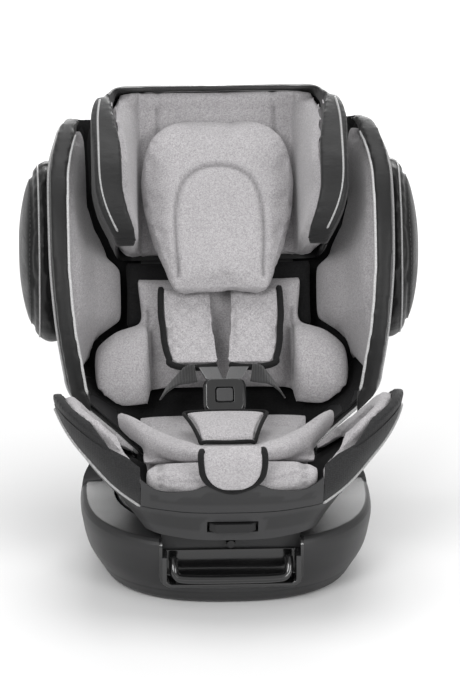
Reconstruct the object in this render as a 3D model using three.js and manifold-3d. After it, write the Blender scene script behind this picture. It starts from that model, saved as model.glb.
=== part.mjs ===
// Rotating convertible child car seat with infant insert, as an assembly of separate parts.
// Millimetres, +Z up. The origin is the centre of the base's underside, on the turntable axis.
// The seat faces -Y. +X is to the right of someone who looks at the seat from the front.
import * as THREE from "three";
import { mergeVertices } from "three/addons/utils/BufferGeometryUtils.js";
import Module from "manifold-3d";

const wasm = await Module();
wasm.setup();

// ---------------------------------------------------------------- driving dimensions
const GAP = 0.4; // clearance between neighbouring parts
const BACK_FOOT = { y: 143, z: 150 }; // where the back line meets the seat
const BACK_LEAN = 26.3; // back line's lean from vertical, degrees
const PIVOT = { y: 0, z: 330 }; // virtual recline centre
const RECLINE_MAX = 15; // degrees
const BOWL_R = 225; // radius of the seat's bowl about the recline centre
const BOWL_FRONT = 141; // how far forward the bowl runs before the front skirt drops
const REAR_RAY = -26; // angle at which the rear of the bowl opens into the backrest, degrees
const SWEEP_R = 201; // outer radius that the base's raised rear sweeps
const SWEEP_INNER_R = 180.5;
const SWEEP_Z = 148; // height that the seat's nose stays above
const BASE_W = 196; // half width of the base
const BASE_D = 198; // half depth of the base
const BASE_RIM = 96; // height of the base's rim
const DOME_TOP = 143; // height of the raised rear of the base
const OPEN_R = 151; // radius of the turntable opening
const WELL_FLOOR = 57; // height of the turntable opening's floor
const DISC_R = 147; // turntable disc radius
const TUB_WALL = 4; // wall of the seat tub
const COVER_WALL = 4; // wall of the backrest's outer cover
const RIM_BAND = 22; // width of the padded rim beyond the piping line
const RIM_THICK = 30; // thickness of the backrest's padded rim
const SEAT_RIM = 15; // thickness of the seat's padded rim; the light lining laps inside it
const CUSHION_HALF = 118; // half width of the seat cushion
const INSERT_HALF = 117.5; // half width of the infant insert's seat
const APRON_HALF = 121; // half width of the seat apron
const APRON_TOP = 181; // height of the seat apron's upper edge, under the cushion's nose
const BACK_TOP = 417; // top of the backrest, along the back line
const HEAD_U0 = 217; // headrest's lower end, along the back line
const HEAD_U1 = 455; // headrest's upper end, along the back line
const ISOFIX_X = 140; // half spacing of the two anchor arms
const ISOFIX_Z = 39; // height of the anchor arms

// ---------------------------------------------------------------- placement and outlines
const radians = (degrees) => (degrees * Math.PI) / 180;
const leanSin = Math.sin(radians(BACK_LEAN));
const leanCos = Math.cos(radians(BACK_LEAN));
// Back frame: x across, u up along the back line, n forward out of it.
const onBack = (x, u, n) => [
  x,
  BACK_FOOT.y + leanSin * u - leanCos * n,
  BACK_FOOT.z + leanCos * u + leanSin * n,
];
const toBack = (y, z) => [
  leanSin * (y - BACK_FOOT.y) + leanCos * (z - BACK_FOOT.z),
  -leanCos * (y - BACK_FOOT.y) + leanSin * (z - BACK_FOOT.z),
];
// A point of the (y, z) plane, at a radius and angle about the recline centre.
const aboutPivot = (radius, degrees) => [
  PIVOT.y + radius * Math.cos(radians(degrees)),
  PIVOT.z + radius * Math.sin(radians(degrees)),
];
// How lofts place a ring point (a, b) of the section at t.
const alongX = (t, a, b) => [t, a, b];
const alongY = (t, a, b) => [a, t, b];
const alongZ = (t, a, b) => [a, b, t];
const backAlongX = onBack; // ring in u and n
const backAlongU = (t, a, b) => onBack(a, t, b); // ring in x and n
const backAlongN = (t, a, b) => onBack(a, b, t); // ring in x and u

const times = (count, make) => Array.from({ length: count }, (_, i) => make(i));
const toVectors = (outline) => outline.map(([a, b]) => new THREE.Vector2(a, b));
// Straight-line interpolation in a table of [station, value], held level at its ends.
const lookUp = (table, station) => {
  if (station <= table[0][0]) return table[0][1];
  for (let i = 1; i < table.length; i++) {
    const [from, low] = table[i - 1];
    const [to, high] = table[i];
    if (station <= to) return low + ((high - low) * (station - from)) / (to - from);
  }
  return table[table.length - 1][1];
};
// The points in reverse order, on the other side of x = 0.
const reflected = (points) => points.slice().reverse().map(([x, ...rest]) => [-x, ...rest]);
const mirrored = (half) => [...half, ...reflected(half)];
const shift = (outline, da, db) => outline.map(([a, b]) => [a + da, b + db]);
const rect = (a0, a1, b0, b1) => [[a0, b0], [a1, b0], [a1, b1], [a0, b1]];
// A rounded rectangle from its half sizes, each corner in cornerSteps pieces.
const roundRect = (halfA, halfB, radius, cornerSteps) =>
  [[1, 1, 0], [-1, 1, 90], [-1, -1, 180], [1, -1, 270]].flatMap(([signA, signB, start]) =>
    times(cornerSteps + 1, (i) => {
      const angle = radians(start + (90 * i) / cornerSteps);
      return [
        signA * (halfA - radius) + radius * Math.cos(angle),
        signB * (halfB - radius) + radius * Math.sin(angle),
      ];
    }));
// A superellipse; power 2 gives an ellipse.
const superRing = (halfX, halfY, count, power = 2.5) =>
  times(count, (i) => {
    const angle = (2 * Math.PI * i) / count;
    const reach = (v) => Math.sign(v) * Math.abs(v) ** (2 / power);
    return [halfX * reach(Math.cos(angle)), halfY * reach(Math.sin(angle))];
  });
// The +X rear corner of a ring in x and n, moved in by depth.
const rearCorner = (halfWidth, back, radius, depth) =>
  times(5, (i) => {
    const angle = radians(-90 + (90 * i) / 4);
    return [
      halfWidth - radius + (radius - depth) * Math.cos(angle),
      -back + radius + (radius - depth) * Math.sin(angle),
    ];
  });
// A closed outline moved inwards by depth (outwards if negative).
const inset = (outline, depth) => {
  if (!depth) return outline;
  const count = outline.length;
  let area = 0;
  for (let i = 0; i < count; i++) {
    const [x0, y0] = outline[i];
    const [x1, y1] = outline[(i + 1) % count];
    area += x0 * y1 - x1 * y0;
  }
  const turn = area > 0 ? 1 : -1;
  return outline.map(([x, y], i) => {
    const [beforeX, beforeY] = outline[(i + count - 1) % count];
    const [afterX, afterY] = outline[(i + 1) % count];
    const inX = x - beforeX, inY = y - beforeY;
    const outX = afterX - x, outY = afterY - y;
    const inLength = Math.hypot(inX, inY) || 1;
    const outLength = Math.hypot(outX, outY) || 1;
    let normalX = -(inY / inLength) - outY / outLength;
    let normalY = inX / inLength + outX / outLength;
    const length = Math.hypot(normalX, normalY) || 1;
    normalX /= length;
    normalY /= length;
    const mitre = Math.max(0.5, -normalX * (inY / inLength) + normalY * (inX / inLength));
    return [x + (turn * normalX * depth) / mitre, y + (turn * normalY * depth) / mitre];
  });
};
// An open (y, z) line moved by distance to the right of its run (left if negative).
const offsetLine = (line, distance) =>
  line.map(([y, z], i) => {
    const before = line[Math.max(0, i - 1)];
    const after = line[Math.min(line.length - 1, i + 1)];
    const dy = after[0] - before[0], dz = after[1] - before[1];
    const length = Math.hypot(dy, dz);
    return [y + (distance * dz) / length, z - (distance * dy) / length];
  });

// ---------------------------------------------------------------- solids
const toSolid = (geometry) => {
  for (const key of Object.keys(geometry.attributes))
    if (key !== "position") geometry.deleteAttribute(key);
  const merged = mergeVertices(geometry, 1e-3);
  const triVerts = new Uint32Array(merged.index.array);
  const vertProperties = merged.attributes.position.array;
  const make = () => new wasm.Manifold(new wasm.Mesh({ numProp: 3, vertProperties, triVerts }));
  const made = make();
  if (made.volume() >= 0) return made;
  // The faces look inwards, so each triangle is turned over.
  for (let i = 0; i < triVerts.length; i += 3)
    [triVerts[i + 1], triVerts[i + 2]] = [triVerts[i + 2], triVerts[i + 1]];
  return make();
};
const toGeometry = (body) => {
  const mesh = body.getMesh();
  const geometry = new THREE.BufferGeometry();
  const positions = Float32Array.from(mesh.vertProperties);
  geometry.setAttribute("position", new THREE.BufferAttribute(positions, 3));
  geometry.setIndex(new THREE.BufferAttribute(Uint32Array.from(mesh.triVerts), 1));
  const flat = geometry.toNonIndexed();
  flat.computeVertexNormals();
  return flat;
};
// A capped loft through sections { at, ring }, whose points place(at, a, b) sets in space.
const loft = (sections, place) => {
  const count = sections[0].ring.length;
  const positions = sections.flatMap(({ at, ring }) => ring.flatMap(([a, b]) => place(at, a, b)));
  const indices = [];
  for (let j = 0; j + 1 < sections.length; j++)
    for (let i = 0; i < count; i++) {
      const here = j * count + i;
      const next = j * count + ((i + 1) % count);
      indices.push(here, next, next + count, here, next + count, here + count);
    }
  // The sides' winding follows the ring's own direction, so the caps are turned to agree.
  const ringIsCcw = !THREE.ShapeUtils.isClockWise(toVectors(sections[0].ring));
  const addCap = (section, offset, isEnd) => {
    const ring = toVectors(section.ring);
    for (const face of THREE.ShapeUtils.triangulateShape(ring, [])) {
      const [p, q, r] = face.map((i) => ring[i]);
      const area = (q.x - p.x) * (r.y - p.y) - (q.y - p.y) * (r.x - p.x);
      const corners = face.map((i) => offset + i);
      if ((area > 0 === ringIsCcw) !== isEnd) corners.reverse();
      indices.push(...corners);
    }
  };
  addCap(sections[0], 0, false);
  addCap(sections[sections.length - 1], (sections.length - 1) * count, true);
  const geometry = new THREE.BufferGeometry();
  geometry.setAttribute("position", new THREE.BufferAttribute(new Float32Array(positions), 3));
  geometry.setIndex(indices);
  return toSolid(geometry);
};
const prism = (place) => (ring, from, to) => loft([{ at: from, ring }, { at: to, ring }], place);
const prismX = prism(alongX);
const prismY = prism(alongY);
const prismZ = prism(alongZ);
const backPrismX = prism(backAlongX);
const backPrismN = prism(backAlongN);
// Prisms centred on x = 0.
const bandX = (outline, half) => prismX(outline, -half, half);
const backBandX = (outline, half) => backPrismX(outline, -half, half);
const box = ([x0, x1], [y0, y1], [z0, z1]) =>
  toSolid(new THREE.BoxGeometry(x1 - x0, y1 - y0, z1 - z0)
    .translate((x0 + x1) / 2, (y0 + y1) / 2, (z0 + z1) / 2));
const cylinder = (radius, z0, z1, sides) =>
  toSolid(new THREE.CylinderGeometry(radius, radius, z1 - z0, sides)
    .rotateX(Math.PI / 2).translate(0, 0, (z0 + z1) / 2));
// An eight-sided bar along a smooth curve.
const bar = (points, radius, steps) => {
  const vectors = points.map((point) => new THREE.Vector3(...point));
  const extrudePath = new THREE.CatmullRomCurve3(vectors, false, "centripetal");
  const ring = times(8, (i) => {
    const angle = (2 * Math.PI * i) / 8;
    return [radius * Math.cos(angle), radius * Math.sin(angle)];
  });
  const shape = new THREE.Shape(toVectors(ring));
  return toSolid(new THREE.ExtrudeGeometry(shape, { steps, extrudePath, bevelEnabled: false }));
};
// A flat strap along its middle line; its width runs along x unless directions are given.
const strap = (line, width, thickness, widthDirections = []) => {
  const ring = rect(-width / 2, width / 2, -thickness / 2, thickness / 2);
  const sections = line.map((point, i) => {
    const before = new THREE.Vector3(...line[Math.max(0, i - 1)]);
    const after = new THREE.Vector3(...line[Math.min(line.length - 1, i + 1)]);
    const run = after.sub(before).normalize();
    const across = new THREE.Vector3(...(widthDirections[i] ?? [1, 0, 0]));
    across.addScaledVector(run, -across.dot(run)).normalize();
    const normal = new THREE.Vector3().crossVectors(run, across);
    return { at: { centre: new THREE.Vector3(...point), across, normal }, ring };
  });
  return loft(sections, ({ centre, across, normal }, a, b) =>
    centre.clone().addScaledVector(across, a).addScaledVector(normal, b).toArray());
};
const mirrorX = (body) => body.scale([-1, 1, 1]);
const biggest = (body) => body.decompose().sort((a, b) => b.volume() - a.volume())[0];
const cached = (build) => {
  const made = new Map();
  return (depth) => {
    if (!made.has(depth)) made.set(depth, build(depth));
    return made.get(depth);
  };
};
// Cutting solids below run on past the parts they cut; their far faces leave no mark.

// ---------------------------------------------------------------- seat envelope
// Height z, half width beside the seat.
const SIDE_HALF_WIDTH = [
  [108, 100], [125, 122], [150, 150], [175, 180], [200, 204], [225, 221], [250, 232],
  [300, 240], [640, 240],
];
// Height z, half width towards the front.
const FRONT_HALF_WIDTH = [
  [108, 132], [125, 142], [150, 162], [175, 186], [200, 204], [225, 221], [250, 232],
  [300, 240], [640, 240],
];
// Height z, how far forward the front reaches.
const FRONT_REACH = [[108, 214], [150, 222], [180, 229], [250, 232], [640, 232]];
// y as a share of the front reach, x as a share of the half width.
const FRONT_PLAN = [
  [-1, 0.27], [-0.94, 0.56], [-0.84, 0.79], [-0.66, 0.93], [-0.46, 0.985], [-0.26, 1], [0, 0.98],
];
// y, x as a share of the half width low down, and what is added to that share higher up.
const REAR_PLAN = [[60, 0.94, 0.06], [110, 0.84, 0.18], [160, 0.69, 0.34], [430, 0.68, 0.36]];
const ENVELOPE_FOOT = 108;
const ENVELOPE_HEIGHTS = [125, 150, 175, 200, 225, 250, 300, 640];

const envelopeRing = (z, depth) => {
  const side = lookUp(SIDE_HALF_WIDTH, z);
  const front = lookUp(FRONT_HALF_WIDTH, z);
  const reach = lookUp(FRONT_REACH, z);
  const rise = Math.min(1, Math.max(0, (z - 175) / 65));
  const widthAt = (y) => {
    if (y < -0.5) return front;
    return y < -0.4 ? (side + front) / 2 : side;
  };
  const half = [
    ...FRONT_PLAN.map(([y, share]) => [share * widthAt(y), y * reach]),
    ...REAR_PLAN.map(([y, low, gain]) => [(low + gain * rise) * side, y]),
  ];
  return inset(mirrored(half), depth);
};
const envelope = (depth) => {
  const foot = ENVELOPE_FOOT + Math.max(0, depth);
  const heights = [foot, ...ENVELOPE_HEIGHTS.filter((z) => z > foot + 2)];
  return loft(heights.map((z) => ({ at: z, ring: envelopeRing(z, depth) })), alongZ);
};
// What lies outside the bowl about the recline centre: the seat rocks on its cradle here.
const bowlCut = (depth) => {
  const radius = BOWL_R - depth;
  const front = BOWL_FRONT + depth;
  const start = -180 + (Math.acos(front / radius) * 180) / Math.PI;
  // The rear ray moves in with the inset too.
  const end = REAR_RAY + (Math.asin(depth / radius) * 180) / Math.PI;
  const ray = radians(REAR_RAY);
  const [rayY, rayZ] = aboutPivot(430, REAR_RAY);
  return bandX([
    [-front, -20],
    ...times(17, (i) => aboutPivot(radius, start + ((end - start) * i) / 16)),
    [rayY - depth * Math.sin(ray), rayZ + depth * Math.cos(ray)],
    [430, -20],
  ], 300);
};
// Under the nose the seat stays above the base's raised rear, which it passes when it turns;
// only the apron, outside the base's rim, hangs lower.
const noseCut = (depth) => {
  const low = box([-300, 300], [-400, -(BOWL_FRONT + depth) + 1], [-20, SWEEP_Z + depth]);
  return depth > 0 ? low : low.intersect(cylinder(SWEEP_R, -30, SWEEP_Z + 10, 48));
};
// The ring that the base's raised rear sweeps: at rest for the front half of the seat,
// fully reclined for the rear half.
const sweepRing = (depth) => {
  const ring = cylinder(SWEEP_R, 60, SWEEP_Z - 2 + depth, 40)
    .subtract(cylinder(SWEEP_INNER_R - depth, 50, 200, 40));
  const reclined = ring.translate([0, -PIVOT.y, -PIVOT.z])
    .rotate([RECLINE_MAX, 0, 0])
    .translate([0, PIVOT.y, PIVOT.z]);
  return ring.intersect(box([-300, 300], [-(BOWL_FRONT + depth), 0], [0, 300]))
    .add(reclined.intersect(box([-300, 300], [0, 400], [0, 400])));
};
// The whole seat body moved in by depth; shells are the difference of two of these.
const seatSolid = cached((depth) =>
  envelope(depth).subtract(bowlCut(depth)).subtract(noseCut(depth)).subtract(sweepRing(depth)));

// Piping lines, y and z, from their lower rear ends.
const SEAT_PIPING = [
  [37, 120], [22, 145], [5, 172], [-22, 205], [-52, 232], [-80, 246], [-104, 253],
  [-130, 255], [-149, 252], [-172, 245], [-190, 234], [-205, 215], [-214, 190], [-220, 166],
];
const BACK_PIPING = [
  [63, 126], [66, 165], [69, 205], [74, 272], [82, 307], [92, 341], [114, 397],
  [142, 444], [178, 482], [225, 507], [282, 516], [338, 512],
];
// Everything above a seat wing's piping line, the line moved into that region by depth.
const aboveSeat = (depth) => {
  const line = offsetLine(SEAT_PIPING, depth);
  const firstZ = line[0][1];
  const lastZ = line[line.length - 1][1];
  return bandX([[450, 700], [450, firstZ], ...line, [-320, lastZ], [-320, 700]], 310);
};
// Everything above and in front of the backrest's piping line, moved likewise.
const beforeBack = (depth) => {
  const line = offsetLine(BACK_PIPING, -depth);
  const lastZ = line[line.length - 1][1];
  return bandX([
    [-320, 40], [line[0][0] - 2, 40], ...line, [450, lastZ], [450, 760], [-320, 760],
  ], 310);
};
// Backrest half widths at stations u: at the rear, and at n = 130.
const BACK_REAR_WIDTH = [[-80, 190], [0, 196], [150, 203], [300, 210], [380, 212], [430, 205]];
const BACK_FRONT_WIDTH = [
  [-80, 198], [0, 208], [120, 226], [208, 232], [313, 233], [380, 224], [430, 212],
];
const BACK_DEPTH = 52; // how far the backrest reaches behind the back line
const BACK_CORNER = 46;
const BACK_STATIONS = [-90, 0, 75, 150, 225, 300, 350, 390, 450];
const backRing = (u, depth) => {
  const front = lookUp(BACK_FRONT_WIDTH, u) - depth;
  return mirrored([
    ...rearCorner(lookUp(BACK_REAR_WIDTH, u), BACK_DEPTH, BACK_CORNER, depth),
    [front - 2, 90], [front, 130], [front + 2, 220],
  ]);
};
const backSolid = cached((depth) =>
  loft(BACK_STATIONS.map((u) => ({ at: u, ring: backRing(u, depth) })), backAlongU)
    .intersect(seatSolid(depth)));

// ---------------------------------------------------------------- the group
const root = new THREE.Group();
const material = (color, roughness, metalness = 0) =>
  new THREE.MeshStandardMaterial({ color, roughness, metalness });
const materials = {
  shell: material(0x4a4a4e, 0.42),
  black: material(0x17171a, 0.5),
  gloss: material(0x0e0e10, 0.18),
  light: material(0xb6b2b5, 0.95),
  dark: material(0x3b3b3f, 0.6),
  metal: material(0xb9bcc0, 0.3, 1),
  web: material(0x1c1c1f, 0.85),
  rubber: material(0x202022, 0.9),
  green: material(0x4aa04e, 0.4),
  red: material(0xb3262a, 0.45),
};
const add = (name, look, body) => {
  const mesh = new THREE.Mesh(toGeometry(body), materials[look]);
  mesh.name = name;
  root.add(mesh);
};
// The body is the +X piece, and its mirror image is the -X piece.
const addPair = (name, look, body) => {
  add(`${name}_right`, look, body);
  add(`${name}_left`, look, mirrorX(body));
};
// The two sides of one symmetrical body, cut out by a region on +X.
const addSides = (name, look, body, region) => {
  add(`${name}_right`, look, biggest(body.intersect(region)));
  add(`${name}_left`, look, biggest(body.intersect(mirrorX(region))));
};

// ---------------------------------------------------------------- base
// Rows: height z, half width, half depth and, where given, the superellipse's power.
const baseLoft = (rows, count) =>
  loft(rows.map(([z, halfX, halfY, power]) =>
    ({ at: z, ring: superRing(halfX, halfY, count, power) })), alongZ);
const HOUSING_ROWS = [
  [20, 176, 181], [44, 189, 191.5], [66, 194, 197], [80, BASE_W, BASE_D],
  [90, 194, 196], [BASE_RIM, 188, 190],
];
const DOME_ROWS = [
  [86, 195, 197], [100, 195, 197, 2.2], [110, 195, 197, 2],
  [128, 191.5, 193.5, 2], [DOME_TOP, 184, 187, 2],
];
const DOME_HOLE_ROWS = [[78, 172, 172, 2], [104, 173, 173, 2], [150, 184.5, 184.5, 2]];
// (y, z) region that keeps only the dome's rear: its top falls away from the back to the sides.
const DOME_KEEP = [
  [30, 80], [40, BASE_RIM], [95, 122], [140, 141], [165, DOME_TOP + 1],
  [230, DOME_TOP + 1], [230, 80],
];
// Lock pin along y at x = 0, and its play in the holes and the disc's groove.
const PIN_Z = 83;
const PIN_R = 5.6;
const PIN_PLAY = 0.8;
const GROOVE_R = 138; // floor of the disc's rim groove
const pinRod = (radius, y0, y1, sides = 12) =>
  toSolid(new THREE.CylinderGeometry(radius, radius, y1 - y0, sides)
    .translate(0, (y0 + y1) / 2, PIN_Z));

const upperHousing = () => {
  const dome = baseLoft(DOME_ROWS, 36)
    .intersect(bandX(DOME_KEEP, 220))
    .subtract(baseLoft(DOME_HOLE_ROWS, 36));
  const underside = baseLoft([[19, 168, 172], [50, 184, 187]], 20);
  const frontNotch = prismY(mirrored([[84, 30], [93, 36], [93, 130]]), -230, -156);
  const armSlot = (x) => prismY(shift(roundRect(19, 17, 5, 2), x, ISOFIX_Z), 60, 230);
  return baseLoft(HOUSING_ROWS, 28)
    .add(dome)
    .subtract(cylinder(OPEN_R, WELL_FLOOR, 120, 36))
    .subtract(underside)
    .subtract(frontNotch)
    .subtract(armSlot(ISOFIX_X))
    .subtract(armSlot(-ISOFIX_X))
    .subtract(pinRod(PIN_R + PIN_PLAY, -175, -140));
};
add("base_upper_housing", "shell", upperHousing());

// Tray with a shallow groove in its underside that holds the foot ring.
const footGroove = baseLoft([[-1, 120, 124], [2.4, 120, 124]], 20)
  .subtract(baseLoft([[-2, 96, 100], [3, 96, 100]], 20));
add("base_lower_tray", "shell",
  baseLoft([[0, 158, 164], [4, 166, 171], [19.6, 175, 180]], 24).subtract(footGroove));
add("base_foot_ring", "rubber",
  baseLoft([[0, 119, 123], [2, 119, 123]], 20)
    .subtract(baseLoft([[-1, 97, 101], [3, 97, 101]], 20)));

// Handle bay at the front of the base, open to the front and the top.
add("handle_bay", "black",
  prismY(mirrored([[83.7, 30.5], [92.4, 36.2], [92.4, 74]]), -190, -156.5)
    .subtract(prismY(mirrored([[80, 35.5], [86, 39], [86, 90]]), -200, -161)));
const HANDLE_HALF = [[-76, -172, 68], [-77, -181, 58], [-74, -187, 47], [-60, -190, 43]];
add("release_handle", "gloss",
  bar([...HANDLE_HALF, [0, -191, 42.5], ...reflected(HANDLE_HALF)], 6, 24));

// Turntable bearing.
const BEARING_FOOT = WELL_FLOOR + GAP;
const BEARING_TOP = 63;
add("bearing_ring", "metal",
  cylinder(118, BEARING_FOOT, BEARING_TOP, 32).subtract(cylinder(92, 50, 70, 32)));
add("centre_spindle", "metal", cylinder(13, BEARING_FOOT, 94, 16).add(cylinder(20, 91, 95, 16)));

// The lock pin's nose runs in the disc's rim groove; a deeper socket waits at each quarter turn.
const turntableDisc = () => {
  const reach = PIN_R + PIN_PLAY;
  const groove = cylinder(DISC_R + 3, PIN_Z - PIN_R - PIN_PLAY, PIN_Z + PIN_R + PIN_PLAY, 36)
    .subtract(cylinder(GROOVE_R, 60, 100, 36));
  let disc = cylinder(DISC_R, BEARING_TOP + GAP, 96.6, 36)
    .subtract(cylinder(14, 50, 100, 16))
    .subtract(cylinder(21, 90.4, 100, 16))
    .subtract(groove);
  for (let i = 0; i < 4; i++)
    disc = disc.subtract(pinRod(reach, -160, -126, 10).rotate([0, 0, 90 * i]));
  return disc;
};
add("turntable_disc", "black", turntableDisc());
add("turntable_lock_pin", "metal", pinRod(PIN_R, -168, -138.6));

// Cradle, hollowed to the seat's bowl.
const cradleHollow = bandX(times(21, (i) => aboutPivot(BOWL_R + 1.5, -150 + 6 * i)), 200);
add("recline_cradle", "black",
  prismZ(roundRect(116, 138, 30, 3), 97.2, 154).subtract(cradleHollow));

// ---------------------------------------------------------------- ISOFIX frame
const FRAME_HALF = [
  [ISOFIX_X, 149.5, ISOFIX_Z], [ISOFIX_X, 40, ISOFIX_Z],
  [ISOFIX_X - 14, 14, ISOFIX_Z], [ISOFIX_X - 40, 4, ISOFIX_Z],
];
add("isofix_frame", "metal",
  bar([...FRAME_HALF, [0, 2, ISOFIX_Z], ...reflected(FRAME_HALF)], 8, 30));
const jawSlot = box([ISOFIX_X - 6, ISOFIX_X + 6], [190, 230], [32, 46]);
const releasePocket = box([ISOFIX_X - 20, ISOFIX_X - 8], [166, 187], [33, 45]);
addPair("isofix_connector", "black",
  prismX(shift(roundRect(31, 13, 6, 2), 181.4, ISOFIX_Z), ISOFIX_X - 14, ISOFIX_X + 14)
    .subtract(jawSlot)
    .subtract(releasePocket));
addPair("isofix_release", "green", box([ISOFIX_X - 17, ISOFIX_X - 9], [173, 185], [34, 44]));
const JAW = [[191.5, 36.5], [208, 36.5], [208, 40], [198, 42], [191.5, 41]]; // y, z
addPair("isofix_jaw", "metal", prismX(JAW, ISOFIX_X - 5, ISOFIX_X + 5));

// ---------------------------------------------------------------- seat shell
// (y, z) regions on the seat's and the backrest's sides of the joint between them.
const seatRegion = bandX([
  [49, 60], [49, 125], [38, 180], [15, 240], [15, 300], [-320, 300], [-320, 60],
], 310);
const backRegion = bandX([
  [51, 60], [51, 125], [40, 180], [17, 240], [17, 300], [-100, 320], [-100, 700],
  [470, 700], [470, 60],
], 310);

const seatTub = () => {
  const wall = seatSolid(0).subtract(seatSolid(TUB_WALL));
  const apronX = [-APRON_HALF, APRON_HALF];
  const apron = wall.intersect(box(apronX, [-320, -150], [150, APRON_TOP]));
  const leverSlot = box([-34, 34], [-260, -180], [120, 136]);
  return wall.subtract(aboveSeat(0))
    .intersect(box([-310, 310], [-300, 64], [60, 300]))
    .subtract(box(apronX, [-320, -150], [160, 300]))
    .add(apron)
    .subtract(leverSlot);
};
add("seat_tub", "shell", seatTub());
add("recline_lever", "black",
  prismZ(mirrored([[-32, -202.5], [-31, -218], [-23, -226]]), 122, 134));

// Padded fabric edges of the seat's wings, which end beside the front centre.
addSides("seat_rim", "dark",
  seatSolid(0.3).subtract(seatSolid(SEAT_RIM))
    .intersect(aboveSeat(0.6))
    .subtract(aboveSeat(RIM_BAND))
    .intersect(seatRegion),
  box([122, 320], [-320, 450], [0, 700]));

// Lining of the wings: a pad under the piping line, and a lap inside the padded edge.
const seatWingPads = () => {
  const lower = seatSolid(5).subtract(seatSolid(21))
    .subtract(aboveSeat(0))
    .intersect(box([-320, 320], [-300, 36], [172, 300]));
  const lap = seatSolid(SEAT_RIM + GAP).subtract(seatSolid(33))
    .intersect(aboveSeat(-8))
    .subtract(aboveSeat(RIM_BAND - 2))
    .intersect(box([-320, 320], [-300, 30], [150, 300]));
  return lower.add(lap);
};
addSides("seat_wing_pad", "light", seatWingPads(), box([119, 320], [-300, 36], [120, 300]));

// Seat cushion, from the back to the nose, with a slot for the crotch strap. Outlines in y, z.
const CUSHION = [
  [108, 162], [60, 157], [0, 158], [-60, 163], [-140, 181], [-152, 186], [-152, 166],
  [-60, 130], [0, 124], [60, 128], [104, 142],
];
const NOSE = [
  [-148, 168], [-148, 184.6], [-196, 208], [-216, 214], [-228, 206], [-231, 188], [-227, 168],
];
const crotchSlot = box([-21, 21], [4, 18], [100, 200]);
const seatCushion = () => {
  // The nose comes further out above the apron's edge than behind it.
  const noseRoom = box([-130, 130], [-320, -120], [APRON_TOP + 0.5, 300])
    .intersect(envelope(1.5))
    .add(envelope(4.6));
  return bandX(CUSHION, CUSHION_HALF)
    .intersect(seatSolid(5))
    .intersect(envelope(24))
    .add(bandX(NOSE, CUSHION_HALF).intersect(noseRoom))
    .subtract(crotchSlot);
};
add("seat_cushion", "light", biggest(seatCushion()));

// Raised middle of the seat's front edge, y and z.
const FRONT_ROLL = [
  [-205, 213.5], [-212, 232], [-222, 243], [-234, 240], [-240, 222], [-240, 196],
  [-233.5, 186], [-231.8, 188], [-228.6, 206.6], [-216.2, 214.6],
];
add("front_roll", "light", bandX(FRONT_ROLL, 38));

// ---------------------------------------------------------------- backrest
const belowTop = backBandX(rect(-300, BACK_TOP, -250, 400), 320);
const rearKeep = bandX([
  [51, 120.6], [470, 120.6], [470, 700], [-60, 700], [-60, 330], [38, 180],
], 310).intersect(backRegion).intersect(belowTop);

// Outer cover with an arched opening at the rear; the half outline is x, u.
const ARCH_HALF = [
  [178, -60], [184, 120], [182, 230], [170, 280], [140, 308], [100, 318],
];
add("back_outer_cover", "dark",
  backSolid(0).subtract(backSolid(COVER_WALL))
    .subtract(beforeBack(0))
    .subtract(backPrismN(mirrored(ARCH_HALF), -120, -20))
    .intersect(rearKeep));

// Kidney-shaped opening on +X, x and u.
const KIDNEY = [
  [118, 245], [124, 255], [150, 262], [172, 250], [180, 215], [180, 150],
  [170, 80], [152, 38], [136, 22], [120, 26], [116, 60], [118, 140],
];
const rearSlot = (x0, x1, u0, u1) => backPrismN(rect(x0, x1, u0, u1), -90, -20);
const backrestShell = () => {
  const kidney = backPrismN(KIDNEY, -90, -20);
  // Channel down the middle of the shell for the straps and the height carriage.
  const channelOuter = backPrismN(rect(-104, 104, 20, BACK_TOP), -47.4, -29);
  const channelInner = backPrismN(rect(-100, 100, 10, 430), -80, -33);
  return backSolid(4.8).subtract(backSolid(8.6))
    .add(channelOuter.intersect(backSolid(5)))
    .subtract(channelInner)
    .subtract(beforeBack(-6))
    .intersect(rearKeep)
    .subtract(kidney)
    .subtract(mirrorX(kidney))
    .subtract(rearSlot(31, 83, 296, 312))
    .subtract(rearSlot(-83, -31, 296, 312))
    .subtract(rearSlot(-11, 11, 270, 440));
};
add("backrest_shell", "shell", biggest(backrestShell()));

const backRims = () => {
  const inside = backBandX(rect(-100, 500, -28.6, 300), 179)
    .add(box([-120, 120], [-300, 500], [0, 400]));
  return backSolid(0.3).subtract(backSolid(RIM_THICK))
    .intersect(beforeBack(0.6))
    .subtract(beforeBack(RIM_BAND))
    .intersect(backRegion)
    .intersect(belowTop)
    .subtract(inside)
    .subtract(rearSlot(-104.5, 104.5, -100, 500));
};
addSides("back_rim", "dark", backRims(), box([1, 320], [-320, 450], [0, 700]));

// The wing pads slope from the rims in to the back, and step outwards beside the infant
// insert below and the headrest above.
const PIPING_N = BACK_PIPING.map(([y, z]) => toBack(y, z)).sort((a, b) => a[0] - b[0]);
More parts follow.
